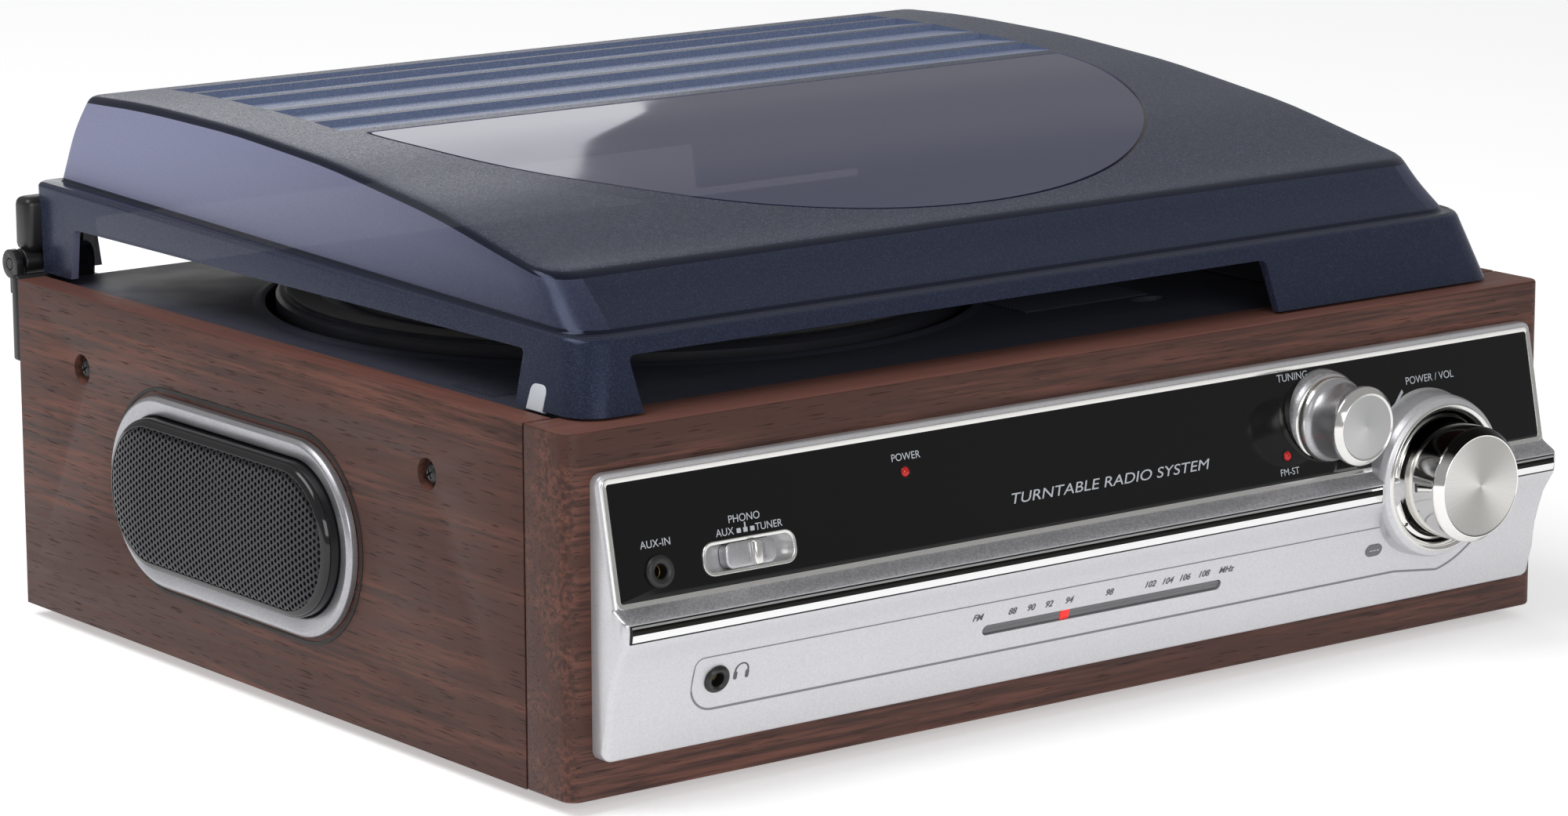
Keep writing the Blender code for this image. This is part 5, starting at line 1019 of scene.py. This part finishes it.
# %% Small parts of the front
switch_lay = on_front(*SWITCH_AT)
rim = [(-0.55, -3.3), (-0.55, 0.2, 0.2), (0.35, 0.35, 0.2), (0.55, -0.3), (0.0, -3.3)]
pan = moulding("function_pan_rim", rounded(28.7, 7.9, 3.0), rim, switch_lay, [POLISHED_SILVER])
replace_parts(dress(pan, "cabinet"), "function_bezel")
dress(plate("function_pan_floor", rounded(28.6, 7.8, 3.0), -3.3, -2.4, 0.0, switch_lay, [SATIN]),
      "cabinet")
cap = plate("function_cap", rounded(16.0, 6.6, 2.4), -2.2, 0.8, 0.6, switch_lay, [SATIN])
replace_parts(dress(cap, "function"), "function_switch")
dress(bar("function_ridge", (0.2, -3.2, 0.4), (2.8, 3.2, 2.2), switch_lay, [POLISHED_SILVER], 0.7),
      "function")
carve(cap, bar("function_mark", (3.6, -1.9, 0.3), (4.4, 1.9, 1.5), switch_lay, []))


def socket(name, node, at, ring_radius):
    lay = on_front(*at)
    line = [(1.8, -8.5), (1.85, 0.7, 0.3), (2.6, 1.2, 0.3), (ring_radius - 0.7, 1.3, 0.5),
            (ring_radius, 0.5, 0.3), (ring_radius, -0.4), (3.1, -0.4), (3.1, -8.5)]
    # The bore, inside 2 mm, is painted near-black as shade.
    piece = lathe(name, line, lay.translation, out_of(lay), [PLASTIC_BLACK, PAINTED_SHADE_BLACK],
                  lambda r, h: 1 if r < 2.0 else 0, 48, True)
    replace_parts(dress(piece, "cabinet"), node)
    dress(lathe(f"{name}_contact", [(1.35, -4.5), (1.6, -2.2, 0.2), (1.75, -2.2), (1.75, -4.5)],
                lay.translation, out_of(lay), [BRASS], sides=32, closed=True), "cabinet")


socket("aux_ring", "aux_jack", AUX_AT, 4.3)
socket("phones_ring", "headphone_jack", PHONES_AT, 3.8)


def red_lamp(name, node, at):
    lay = on_front(*at)
    bead = lathe(name, [(0, 0.75), (0.8, 0.6, 0.4), (1.35, 0.0, 0.3), (1.4, -1.2), (0, -1.2)],
                 lay.translation, out_of(lay), [RED_LENS], sides=40)
    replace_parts(dress(bead, "cabinet"), node)
    seat = lathe(f"{name}_seat", [(1.4, -1.2), (1.45, 0.05, 0.1), (1.75, 0.1, 0.1), (1.85, -0.6)],
                 lay.translation, out_of(lay), [GLOSS_BLACK], sides=40)
    dress(seat, "cabinet")


red_lamp("power_lamp_dome", "power_lamp", (-66.7, 72.3))
red_lamp("stereo_lamp_dome", "stereo_lamp", (65.1, 59.0))
dial_lay = on_front(*DIAL_AT)
lens = plate("dial_lens_finish", rounded(83.8, 2.8, 1.4), -1.7, -0.45, 0.35, dial_lay, [DIAL_GREY])
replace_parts(dress(lens, "cabinet"), "dial_lens")
needle = bar("dial_needle", (-15.0, -1.35, -0.6), (-11.9, 1.35, -0.30), dial_lay, [RED_GLOW], 0.1)
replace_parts(dress(needle, "pointer"), "dial_pointer")
print("small parts done")

# %% [markdown]
# ## Printed words
# Lettering is a thin film of ink. Each word is set in the built-in letterform, made into a mesh and
# laid on the surface just under it. Only plain functional words are used.

# %% Words and marks


def word(text, across, up, size, paint=INK, spread=1.0, bold=0.0, lean=0.0):
    """A printed word standing on its middle point, size in millimetres of capital height."""
    name = "word_" + "".join(c if c.isalnum() else "_" for c in text) + f"_{len(bpy.data.curves)}"
    ink = bpy.data.curves.new(name, "FONT")
    ink.body, ink.align_x, ink.align_y = text, "CENTER", "CENTER"
    ink.size, ink.extrude, ink.offset, ink.shear = size * 1.42, 0.02, bold, lean
    guide = bpy.data.objects.new(name, ink)
    bpy.context.scene.collection.objects.link(guide)
    graph = bpy.context.evaluated_depsgraph_get()
    mesh = bpy.data.meshes.new_from_object(guide.evaluated_get(graph))
    bpy.data.objects.remove(guide)
    mesh.transform(on_front(across, up, 0.06) @ Matrix.Diagonal((spread, 1, 1, 1)))
    mesh.materials.clear()
    piece = shown(name, mesh, paint)
    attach(piece, "cabinet")
    return piece


word("TURNTABLE RADIO SYSTEM", 1.3, 60.6, 2.8, spread=1.4, lean=0.25)
for text, across, up, size in (
    ("AUX-IN", -147.9, 65.4, 1.95), ("PHONO", -119.8, 68.0, 1.95), ("AUX", -126.3, 65.1, 1.9),
    ("TUNER", -112.4, 65.1, 1.9), ("POWER", -66.1, 76.1, 1.95), ("FM-ST", 65.2, 54.7, 1.9),
    ("TUNING", 70.3, 79.7, 2.1), ("POWER / VOL", 121.3, 73.3, 2.1),
):
    word(text, across, up, size)
for text, across in (
    ("FM", -45.1), ("88", -33.3), ("90", -26.9), ("92", -20.7), ("94", -13.7), ("98", 0.4),
    ("102", 14.9), ("104", 21.1), ("106", 27.3), ("108", 34.2), ("MHz", 42.4),
):
    word(text, across, 30.7, 1.9, DIAL_INK, bold=0.04, lean=0.2)


def mark(name, line, across, up, paint, high=0.1):
    line = [Vector(p) for p in line]
    return dress(plate(name, line, -0.05, high, 0.0, on_front(across, up), [paint]),
                 "cabinet")


for index, across in enumerate((-121.9, -119.8, -117.6)):
    mark(f"switch_mark_{index}", rounded(1.3, 1.2, 0.1, 1), across, 65.0, INK)
mark("switch_stem", rounded(0.4, 1.4, 0.1, 1), -119.8, 66.2, INK)
mark("volume_wedge", [(-1.9, -1.6), (-1.5, -2.0), (2.0, 1.3), (1.6, 2.2)], 108.7, 69.2, INK)
mark("small_oval", rounded(6.0, 3.6, 1.8), 98.4, 27.7, DIAL_GREY, 0.25)
for index in range(3):
    mark(f"oval_tick_{index}", [(-0.5, -0.15), (0.5, -0.15), (0.5, 0.15), (-0.5, 0.15)],
         97.2 + index * 1.3, 27.7, INK, 0.3)


def headphones():
    """The headphone sign: a bow over two cups."""
    middle, half = -122.2, 1.85
    bow = [(2.3 * math.cos(a), 2.5 * math.sin(a)) for a in np.linspace(0, math.pi, 15)]
    inner = [(half * math.cos(a), 2.05 * math.sin(a)) for a in np.linspace(math.pi, 0, 15)]
    mark("phones_bow", bow + inner, middle, 28.9, DIAL_INK)
    for index, x in enumerate((-half, half)):
        mark(f"phones_cup_{index}", rounded(1.1, 2.3, 0.5, 3), middle + x, 27.9, DIAL_INK)


headphones()


def ribbon(name, path, width, paint):
    """A narrow strip painted as the shadow of an engraved line, following the fascia's curve."""
    points, faces = [], []
    for i, (x, up) in enumerate(path):
        before, after = path[max(i - 1, 0)], path[min(i + 1, len(path) - 1)]
        along = Vector((after[0] - before[0], after[1] - before[1])).normalized()
        side = Vector((-along.y, along.x)) * width / 2
        for sign in (1, -1):
            a, b = x + side.x * sign, up + side.y * sign
            points.append(spot(a, -reach_at(b) - 0.05, b))
    for i in range(len(path) - 1):
        faces.append([2 * i, 2 * i + 1, 2 * i + 3, 2 * i + 2])
    return dress(make(name, points, faces, [paint]), "cabinet")


def engraved_outline():
    """A line round the dial: small corner, large corner, then an arc round the volume ring."""
    quarter = math.pi / 2
    head = [(-135.2 - 2.5 * math.sin(a), 32.1 + 2.5 * math.cos(a)) for a in np.linspace(0, quarter, 6)]
    foot = [(-130.7 - 7.0 * math.cos(a), 27.0 - 7.0 * math.sin(a)) for a in np.linspace(0, quarter, 9)]
    upper = [(105.0 - i * 10, 34.6) for i in range(24)]
    ribbon("engraved_top", upper + head + foot[:2], 0.3, GROOVE)
    swing = [(VOLUME_X + 29.5 * math.sin(a), VOLUME_UP - 29.5 * math.cos(a))
             for a in np.linspace(math.radians(12), math.radians(64), 16)]
    lower = [(-130.0 + i * 12.5, 20.0) for i in range(20)]
    ribbon("engraved_foot", foot[1:] + lower + [p for p in swing if p[0] > 121], 0.6, GROOVE)


engraved_outline()

# %% [markdown]
# ## Deck and platter
# The deck is one moulding with a round well. The platter fills it with stepped rings, so that a
# record rests on narrow bands, and its middle is sunk. Two panels of fine ribs give fingers a grip,
# and an oval hollow lets them reach a record's edge.

# %% Deck and platter
repaint(DECK_GREY, "deck_plate")
platter_low, platter_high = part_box("platter")
WELL = (platter_low + platter_high) / 2
PLATTER_RADIUS = (platter_high.x - WELL.x) / MM


def ringed_platter():
    r = PLATTER_RADIUS
    line = [(9.0, -11.0), (9.0, -9.0), (6.6, -2.2, 0.3), (17, -2.2, 0.3), (18, -0.4, 0.4),
            (24, -0.4, 0.3)]
    for start in (26, 41, 56, 71):
        line += [(start, -0.9, 0.3), (start + 1.2, 0.9, 0.3), (start + 9, 0.9, 0.4),
                 (start + 10, 0.3, 0.3), (start + 12, 0.3, 0.3)]
    line += [(85, 0.3, 0.3), (86, 1.5, 0.5), (93.5, 1.5, 0.8), (94.5, 0.9, 0.3), (r - 1.0, 0.9, 0.8),
             (r, -0.6), (r, -8), (r - 2.5, -8), (r - 2.5, -3), (9.0, -3.4)]
    piece = lathe("platter_finish", line, (WELL.x, WELL.y, platter_high.z), (0, 0, 1),
                  [PLATTER_GREY, FELT],
                  lambda radius, h: 1 if 26 < radius < 94 and h > 0.7 else 0, 128)
    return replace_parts(dress(piece, "platter"), "platter", "platter_mat")


ringed_platter()
repaint(BRASS, "platter_bearing", "motor_pulley")
repaint(STEEL, "spindle")
repaint(HINGE_BLACK, "hinge_pin_left", "hinge_pin_right")
repaint(LAMINATION, "transformer", "volume_pot", "motor")
repaint(CIRCUIT, "main_board")
repaint(DIAL_GREY, "tuning_capacitor")
repaint(RUBBER, "cord_inlet")


def ribs(name, low, high):
    """A panel of fine raised ribs, low and high as (across, deep)."""
    points, faces, gap = [], [], 1.6
    for i in range(int((high[1] - low[1]) / gap) + 1):
        deep = low[1] + i * gap
        for way, up in ((-0.55, 0.02), (-0.25, 0.55), (0.25, 0.55), (0.55, 0.02)):
            for across in (low[0], high[0]):
                points.append(DECK_LAY @ Vector((across, deep + way, up)))
        start = 8 * i
        for k in range(3):
            a = start + 2 * k
            faces.append([a, a + 1, a + 3, a + 2])
        faces += [[start, start + 2, start + 4, start + 6], [start + 1, start + 3, start + 5, start + 7]]
    return dress(make(name, points, faces, [DECK_GREY]), "cabinet", 20)


ribs("ribs_left", (-155, 54.3), (-134, 73.3))
ribs("ribs_middle", (26, 57.3), (71, 75.3))
channel = bar("deck_channel", (108, 50.5, 0.02), (160, 256, 1.0), DECK_LAY, [DECK_GREY], 0.4)
dress(channel, "cabinet")
well_line = [(PLATTER_RADIUS + out, *rest) for out, *rest in
             ((3.0, -3.0), (3.0, 0.5, 0.4), (4.2, 0.9, 0.4), (6.4, 0.02))]
well_edge = lathe("well_edge", well_line, (WELL.x, WELL.y, DECK), (0, 0, 1), [DECK_GREY], sides=128)
dress(well_edge, "cabinet")
print("platter radius", round(PLATTER_RADIUS, 1), "mm")

# %% [markdown]
# ## Tonearm and sliders
# Under the lid these are seen as dark shapes, so their solids keep their form and get rounded edges.
# A pale line on the headshell and a red cartridge are what shows.

# %% Tonearm and sliders
for node, width, paint in (
    ("tonearm", 0.0005, PLASTIC_BLACK), ("tonearm_yoke", 0.0005, PLASTIC_BLACK),
    ("cartridge", 0.0002, STYLUS_RED), ("arm_clip", 0.0004, PLASTIC_BLACK),
    ("arm_rest", 0.0005, PLASTIC_BLACK), ("tonearm_base", 0.0004, PLASTIC_BLACK),
    ("speed_switch", 0.0007, SATIN), ("auto_stop_switch", 0.0007, SATIN),
    ("hinge_bracket_left", 0.0005, HINGE_BLACK), ("hinge_bracket_right", 0.0005, HINGE_BLACK),
    ("sound_sockets", 0.0003, PLASTIC_BLACK),
):
    softened(node, width, paint)
arm_low, arm_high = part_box("tonearm")
shell_top = Vector(((arm_low.x + arm_high.x) / 2, arm_low.y + 0.002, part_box("cartridge")[1].z + 0.0043))
arm_line = bar("headshell_line", (-0.4, 0, 0), (0.4, 9, 0.2), facing(shell_top, (1, 0, 0), (0, 1, 0)),
               [INK])
dress(arm_line, "arm")
for node in ("speed_switch", "auto_stop_switch"):
    low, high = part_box(node)
    top = facing(Vector(((low.x + high.x) / 2, (low.y + high.y) / 2, high.z)), (1, 0, 0), (0, 1, 0))
    for index in (-1, 0, 1):
        grip = bar(f"{node}_grip_{index + 1}", (-3.6, index * 2.2 - 0.35, -0.1),
                   (3.6, index * 2.2 + 0.35, 0.35), top, [PLASTIC_BLACK], 0.12)
        dress(grip, body_of(node))
print("arm and sliders done")

# %% [markdown]
# ## The lid
# It is one thin moulding with many faces: flared feet, a band, a ledge, near-upright sides, a
# leaning front and a crowned top. Rounded rings of points at each of those levels are joined, with
# every corner eased, and the crown is closed by shrinking rings that follow its curve. The same
# lines a wall's thickness further in make the inside.

# %% Lid's lines
CROWN = [(35.05, 127.6), (52.25, 131.1), (71.25, 135), (84.25, 137.7), (113.25, 141.4),
         (137.25, 144.4), (183.25, 147.5), (224.25, 148.3), (245.25, 148), (258.25, 147.2),
         (260.55, 146.2)]
LID_WALL = 2.4


def crown(deep):
    """The top's height, smoothed between its points."""
    spread = np.linspace(-9, 9, 7)
    return float(np.mean([np.interp(np.clip(deep + s, 35.05, 258), *zip(*CROWN)) for s in spread]))


def plan(half, front, back, radii, flare=0.0, corner=6, cuts=22):
    """A rounded outline, (across, deep), with its sides divided and spreading towards the back."""
    bare = []
    for quarter, (x, y) in enumerate(((1, 1), (-1, 1), (-1, -1), (1, -1))):
        r = radii[1] if y > 0 else radii[0]
        for s in range(corner + 1):
            a = math.pi / 2 * (quarter + s / corner)
            bare.append(Vector((x * (half - r) + r * math.cos(a),
                                (back - r if y > 0 else front + r) + r * math.sin(a))))
    line = []
    for i, point in enumerate(bare):
        following = bare[(i + 1) % len(bare)]
        line.append(point)
        if (following - point).length > 30:
            line += [point.lerp(following, k / cuts) for k in range(1, cuts)]
    return [Vector((p.x * (1 + flare * (p.y - front) / (back - front)), p.y)) for p in line]


def band_top(deep):
    """How high the foot's band ends: it rises slowly towards the back."""
    return 113.6 + 0.0274 * (deep - 15.5)


def side_middle(deep):
    return 120.95 + (136.6 - 120.95) * (deep - 27.85) / (267.75 - 27.85)


def lid_rings(wall):
    """The lid's levels from its foot to its top edge, a wall inside its outer face.

    Each has its half width, front, back, (front, back) corner radii, spread and height."""
    lower, upper = wall * 0.7, wall * 0.5
    levels = [
        (159.8, 7.4 + wall, 275.2 - wall, (9, 3), 0.0, lambda d: 95.5),
        (155.0, 13.6 + wall, 277.4 - wall, (10, 3), 0.030, lambda d: band_top(d) - lower),
        (154.2, 15.2 + wall, 276.6 - wall, (10, 3), 0.027, lambda d: band_top(d) + 0.8 - lower),
        (153.2, 17.6 + wall, 275.0 - wall, (10, 3), 0.0, lambda d: band_top(d) + 0.4 - lower),
        (152.9, 18.6 + wall, 274.6 - wall, (10, 3), 0.0, lambda d: band_top(d) + 1.6 - lower),
        (151.8, 25.8 + wall, 269.6 - wall, (10, 3.5), 0.0, side_middle),
        (151.0, 33.4 + upper, 262.6 - wall, (9, 3.5), -0.004, lambda d: crown(d) - 0.2 - wall),
        (147.0, 37.4 + upper, 258.0 - wall, (8, 3.0), -0.004, lambda d: crown(d) - wall),
    ]
    rows = []
    for half, front, back, radii, flare, height in levels:
        line = plan(half - wall, front, back, radii, flare)
        rows.append([Vector((p.x, p.y, height(p.y))) for p in line])
    return rows


def eased_column(column, radii):
    """Rounds a column of three-dimensional points at each level by its own radius."""
    done = [column[0]]
    for i in range(1, len(column) - 1):
        done += bend(*column[i - 1: i + 2], radii[i], share=0.45)
    return done + [column[-1]]


SHRINK = [1.0, 0.96, 0.9, 0.82, 0.73, 0.64, 0.55, 0.46, 0.37, 0.28, 0.19, 0.1, 0.03]


def skin(wall):
    """All rings of one face of the lid, from its foot to the middle of its crown."""
    rows = lid_rings(wall)
    columns = [eased_column(list(c), (0, 1.0, 0.8, 0.8, 0.8, 6, 2.6, 0)) for c in zip(*rows)]
    rings = [list(r) for r in zip(*columns)]
    top, middle = rings[-1], Vector((0, 147.5, 0))
    for share in SHRINK[1:]:
        ring = []
        for p in top:
            deep = middle.y + (p.y - middle.y) * share
            ring.append(Vector((p.x * share, deep, crown(deep) - wall)))
        rings.append(ring)
    return rings


# %% Lid's body
CLEAR, FROSTED, WITHIN, BAND, EDGE, RIDGE = range(6)
LID_PAINTS = [SMOKE_SIDE, SMOKE_TOP, SMOKE_INSIDE, SMOKE_BAND, SMOKE_EDGE, SMOKE_RIDGE_HIGHLIGHT]
LEDGE_ROW, WALL_ROW, ROLL_ROW, CROWN_ROW = 6, 18, 26, 29


def lid_paint(key, row, middle):
    """The finish of one face of the lid, by its row from the foot and where it lies."""
    if key == "inner":
        return WITHIN
    if row >= CROWN_ROW:
        return FROSTED
    if row < LEDGE_ROW:
        return BAND
    if row < WALL_ROW or row >= ROLL_ROW:
        return EDGE
    return BAND if middle.y < 37 and abs(middle.x) < 143 else CLEAR


def lid_solid(name):
    outer, inner = skin(0.0), skin(LID_WALL)
    points, faces, picks, offset = [], [], [], {}
    for key, rings in (("outer", outer), ("inner", inner)):
        offset[key] = len(points)
        points += [spot(*p) for ring in rings for p in ring]
    count = len(outer[0])
    for key, rings in (("outer", outer), ("inner", inner)):
        base = offset[key]
        for r in range(len(rings) - 1):
            for i in range(count):
                n = (i + 1) % count
                a, b = base + r * count, base + (r + 1) * count
                faces.append([a + i, a + n, b + n, b + i])
                middle = (rings[r][i] + rings[r + 1][n]) / 2
                picks.append(lid_paint(key, r, middle))
        end = base + (len(rings) - 1) * count
        faces.append(list(range(end, end + count)))
        picks.append(WITHIN if key == "inner" else FROSTED)
    for i in range(count):
        n = (i + 1) % count
        faces.append([i, n, offset["inner"] + n, offset["inner"] + i])
        picks.append(CLEAR)
    return make(name, points, faces, LID_PAINTS, picks)


def half_round(grow, low, high, name):
    """The window's outline: a circle cut straight by the line towards the back."""
    radius, centre, cut = 124.0 + grow, Vector((2.0, 168.25)), 160.25 + grow
    start = math.asin((cut - centre.y) / radius)
    turns = np.linspace(math.pi - start, 2 * math.pi + start, 72)
    arc = [(centre.x + radius * math.cos(a), centre.y + radius * math.sin(a)) for a in turns]
    line = eased([(*arc[0], 6.0)] + arc[1:-1] + [(*arc[-1], 6.0)], 6, True)
    clean = [p for i, p in enumerate(line) if (p - line[i - 1]).length > 0.01]
    return plate(name, clean, low, high, 0.0, TOP_LAY, [])


def openings():
    front = facing(spot(0, 30, 0), (1, 0, 0), (0, 0, 1))
    rear = facing(spot(0, 255, 0), (-1, 0, 0), (0, 0, 1))
    left = facing(spot(-140, 0, 0), (0, -1, 0), (0, 0, 1))
    wide = eased([(-137.5, 60), (77.5, 60), (74.5, 109.5, 2.2), (-142.0, 109.5, 2.2)], 6, True)
    other = [Vector((-p.x, p.y)) for p in wide][::-1]
    deep = eased([(-260.5, 60), (-35.0, 60), (-37.0, 109.3, 1.8), (-256.5, 110.0, 2.5)], 6, True)
    return [
        plate("opening_front", wide, 0, 60, 0.0, front, []),
        plate("opening_rear", other, 0, 60, 0.0, rear, []),
        plate("opening_left", deep, 0, 60, 0.0, left, []),
    ]


def sawtooth(deep, run, index):
    """One long groove across the crown: a ramp down towards the back and a steep step up."""
    top = crown(deep)
    profile = [(deep - run, top + 2.0), (deep - run + 0.4, crown(deep - run) + 0.05),
               (deep, top - 1.9), (deep + 1.6, top + 2.0)]
    points = [spot(x, d, u) for x in (-GROOVE_HALF, GROOVE_HALF) for d, u in profile]
    faces = [[k, (k + 1) % 4, 4 + (k + 1) % 4, 4 + k] for k in range(4)]
    # Its faces take the lighter ridge paint, a painted highlight.
    return make(f"groove_{index}", points, [[0, 1, 2, 3], [4, 5, 6, 7]] + faces, LID_PAINTS, [RIDGE] * 6)


def twin(piece, name):
    return shown(name, piece.data.copy())


GROOVE_HALF = 127.5
GROOVES = [(253.0, 11.0), (239.5, 15.5), (221.0, 19.5), (198.5, 18.0), (178.0, 13.0)]
lid = lid_solid("lid_finish")
window = carve(twin(lid, "lid_window"), half_round(0.0, 120, 160, "inner_line"), how="INTERSECT")
trim = carve(twin(lid, "lid_window_trim"), half_round(1.0, 120, 160, "outer_line"), how="INTERSECT")
carve(trim, half_round(0.0, 110, 170, "inner_line"))
carve(lid, half_round(1.0, 110, 170, "outer_line"), *openings(),
      *[sawtooth(deep, run, i) for i, (deep, run) in enumerate(GROOVES)])
for piece, paint in ((window, SMOKE_WINDOW), (trim, GLOSS_BLACK)):
    for slot in (CLEAR, FROSTED, BAND, EDGE, RIDGE):
        piece.data.materials[slot] = paint
trim.data.transform(Matrix.Translation((0, 0, -0.0005)))
for piece in (lid, window, trim):
    dress(piece, "lid", 24)
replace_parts(lid, "lid")
print("lid faces:", [len(p.data.polygons) for p in (lid, window, trim)])

# %% [markdown]
# ## Small pieces on the lid and the back
# A clear rubber bumper is pushed on each front foot of the lid. Each hinge has a block on the lid, a
# tube round its pin and a leaf on the back of the box. Bars and a lathe are enough for these. The
# fibreboard back is held by cross-head screws.

# %% Bumpers, hinges, back screws
for side, (way, _) in SIDES.items():
    lay = facing(spot(way * 159.9, 27.8, 95.0), (0, way, 0), (-0.29 * way, 0, 1))
    tab = eased([(-3.4, 0), (3.4, 0), (3.4, 7.0, 2.4), (-3.4, 7.0, 2.4)], 6, True)
    bumper = plate(f"lid_bumper_{side}", tab, -1.2, 0.5, 0.4, lay, [CLEAR_RUBBER])
    dress(bumper, "lid")
    low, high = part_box(f"hinge_block_{side}")
    middle = (low.x + high.x) / 2 / MM - way * 0.8
    cover = bar(f"hinge_cover_{side}", (middle - 9.6, 274.2, 101.0), (middle + 9.6, 282.6, 117.0),
                TOP_LAY, [HINGE_BLACK], 2.4)
    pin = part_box(f"hinge_pin_{side}")[0] + Vector((0, 1.5, 1.5)) * MM
    tube = lathe(f"hinge_tube_{side}", [(1.9, -10.2), (1.9, 10.2), (4.1, 10.2, 0.5), (4.1, -10.2, 0.5)],
                 (middle * MM, pin.y, pin.z), (1, 0, 0), [HINGE_BLACK], sides=48, closed=True)
    for piece in (cover, tube):
        dress(piece, "lid")
    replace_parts(cover, f"hinge_block_{side}")
    leaf = bar(f"hinge_leaf_{side}", (way * 157.0 - 13.0, 271.0, 70.8),
               (way * 157.0 + 13.0, 274.4, 95.6), TOP_LAY, [HINGE_BLACK], 0.9)
    dress(leaf, "cabinet")
rear_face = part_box("rear_panel")[1].y
for i, (across, up) in enumerate(((-150, 12), (150, 12), (-150, 84), (150, 84), (0, 84), (0, 12))):
    head = lathe(f"back_screw_{i}", [(0, 1.3), (1.6, 1.1, 0.4), (3.0, 0.2, 0.2), (3.0, -0.4), (0, -0.4)],
                 (across * MM, rear_face, UNDER + up * MM), (0, 1, 0), [STEEL], sides=32)
    turned = facing(Vector((across * MM, rear_face, UNDER + up * MM)), (-1, 0, 0), (0, 0, 1))
    carve(head, bar("slot", (-1.4, -0.3, 0.6), (1.4, 0.3, 2), turned, []),
          bar("slot", (-0.3, -1.4, 0.6), (0.3, 1.4, 2), turned, []))
    dress(head, "cabinet")
print("bumpers, hinges and screws done")

# %% [markdown]
# ## Floor, lamps and air
# A pale sheet of paper, a white surround, a large soft lamp high at the left, another in front and
# a faint one far behind: the left side is lit, the front is bright and even, the lid stays dark.

# %% Studio


def floor():
    paint = Paint("studio_paper", tone(247, 247, 248), 0.85, Emission_Color=(1, 1, 1, 1),
                  Emission_Strength=0.42)
    fibre = paint.cloud(0.004, detail=3)
    paint.give("Base Color", paint.blend(fibre, tone(245, 245, 246), tone(249, 249, 250)))
    paint.bump(fibre, 0.00002, 0.3)
    size, count = 12.0, 8
    places = [(i / count - 0.5) * size for i in range(count + 1)]
    points = [Vector((x, y, -0.0001)) for x in places for y in places]
    corners = [(count + 1) * i + j for i in range(count) for j in range(count)]
    faces = [[a, a + 1, a + count + 2, a + count + 1] for a in corners]
    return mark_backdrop(make("studio_floor", points, faces, [paint.material]))


def lamp(name, place, aim, size, power):
    light = bpy.data.lights.new(name, "AREA")
    light.shape, light.size, light.size_y = "RECTANGLE", *size
    light.energy = power
    stand = bpy.data.objects.new(name, light)
    stand.location = place
    stand.rotation_euler = (Vector(aim) - Vector(place)).to_track_quat("-Z", "Y").to_euler()
    bpy.context.scene.collection.objects.link(stand)
    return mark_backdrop(stand)


def surround(strength):
    world = bpy.data.worlds.new("surround")
    world.use_nodes = True
    air = world.node_tree.nodes["Background"]
    air.inputs["Color"].default_value = (1.0, 1.0, 1.0, 1.0)
    air.inputs["Strength"].default_value = strength
    bpy.context.scene.world = world


floor()
surround(0.36)
lamp("key", (-1.0, 0.2, 1.6), (0, 0, 0.1), (1.3, 1.0), 17)
lamp("front", (-0.6, -2.2, 0.9), (0, -0.1, 0.05), (1.8, 0.9), 17)
lamp("far", (1.3, 2.6, 1.0), (0, 0, 0.1), (1.0, 0.7), 3)
bpy.context.scene.view_settings.view_transform = "Standard"
print("lamps:", len(bpy.data.lights))
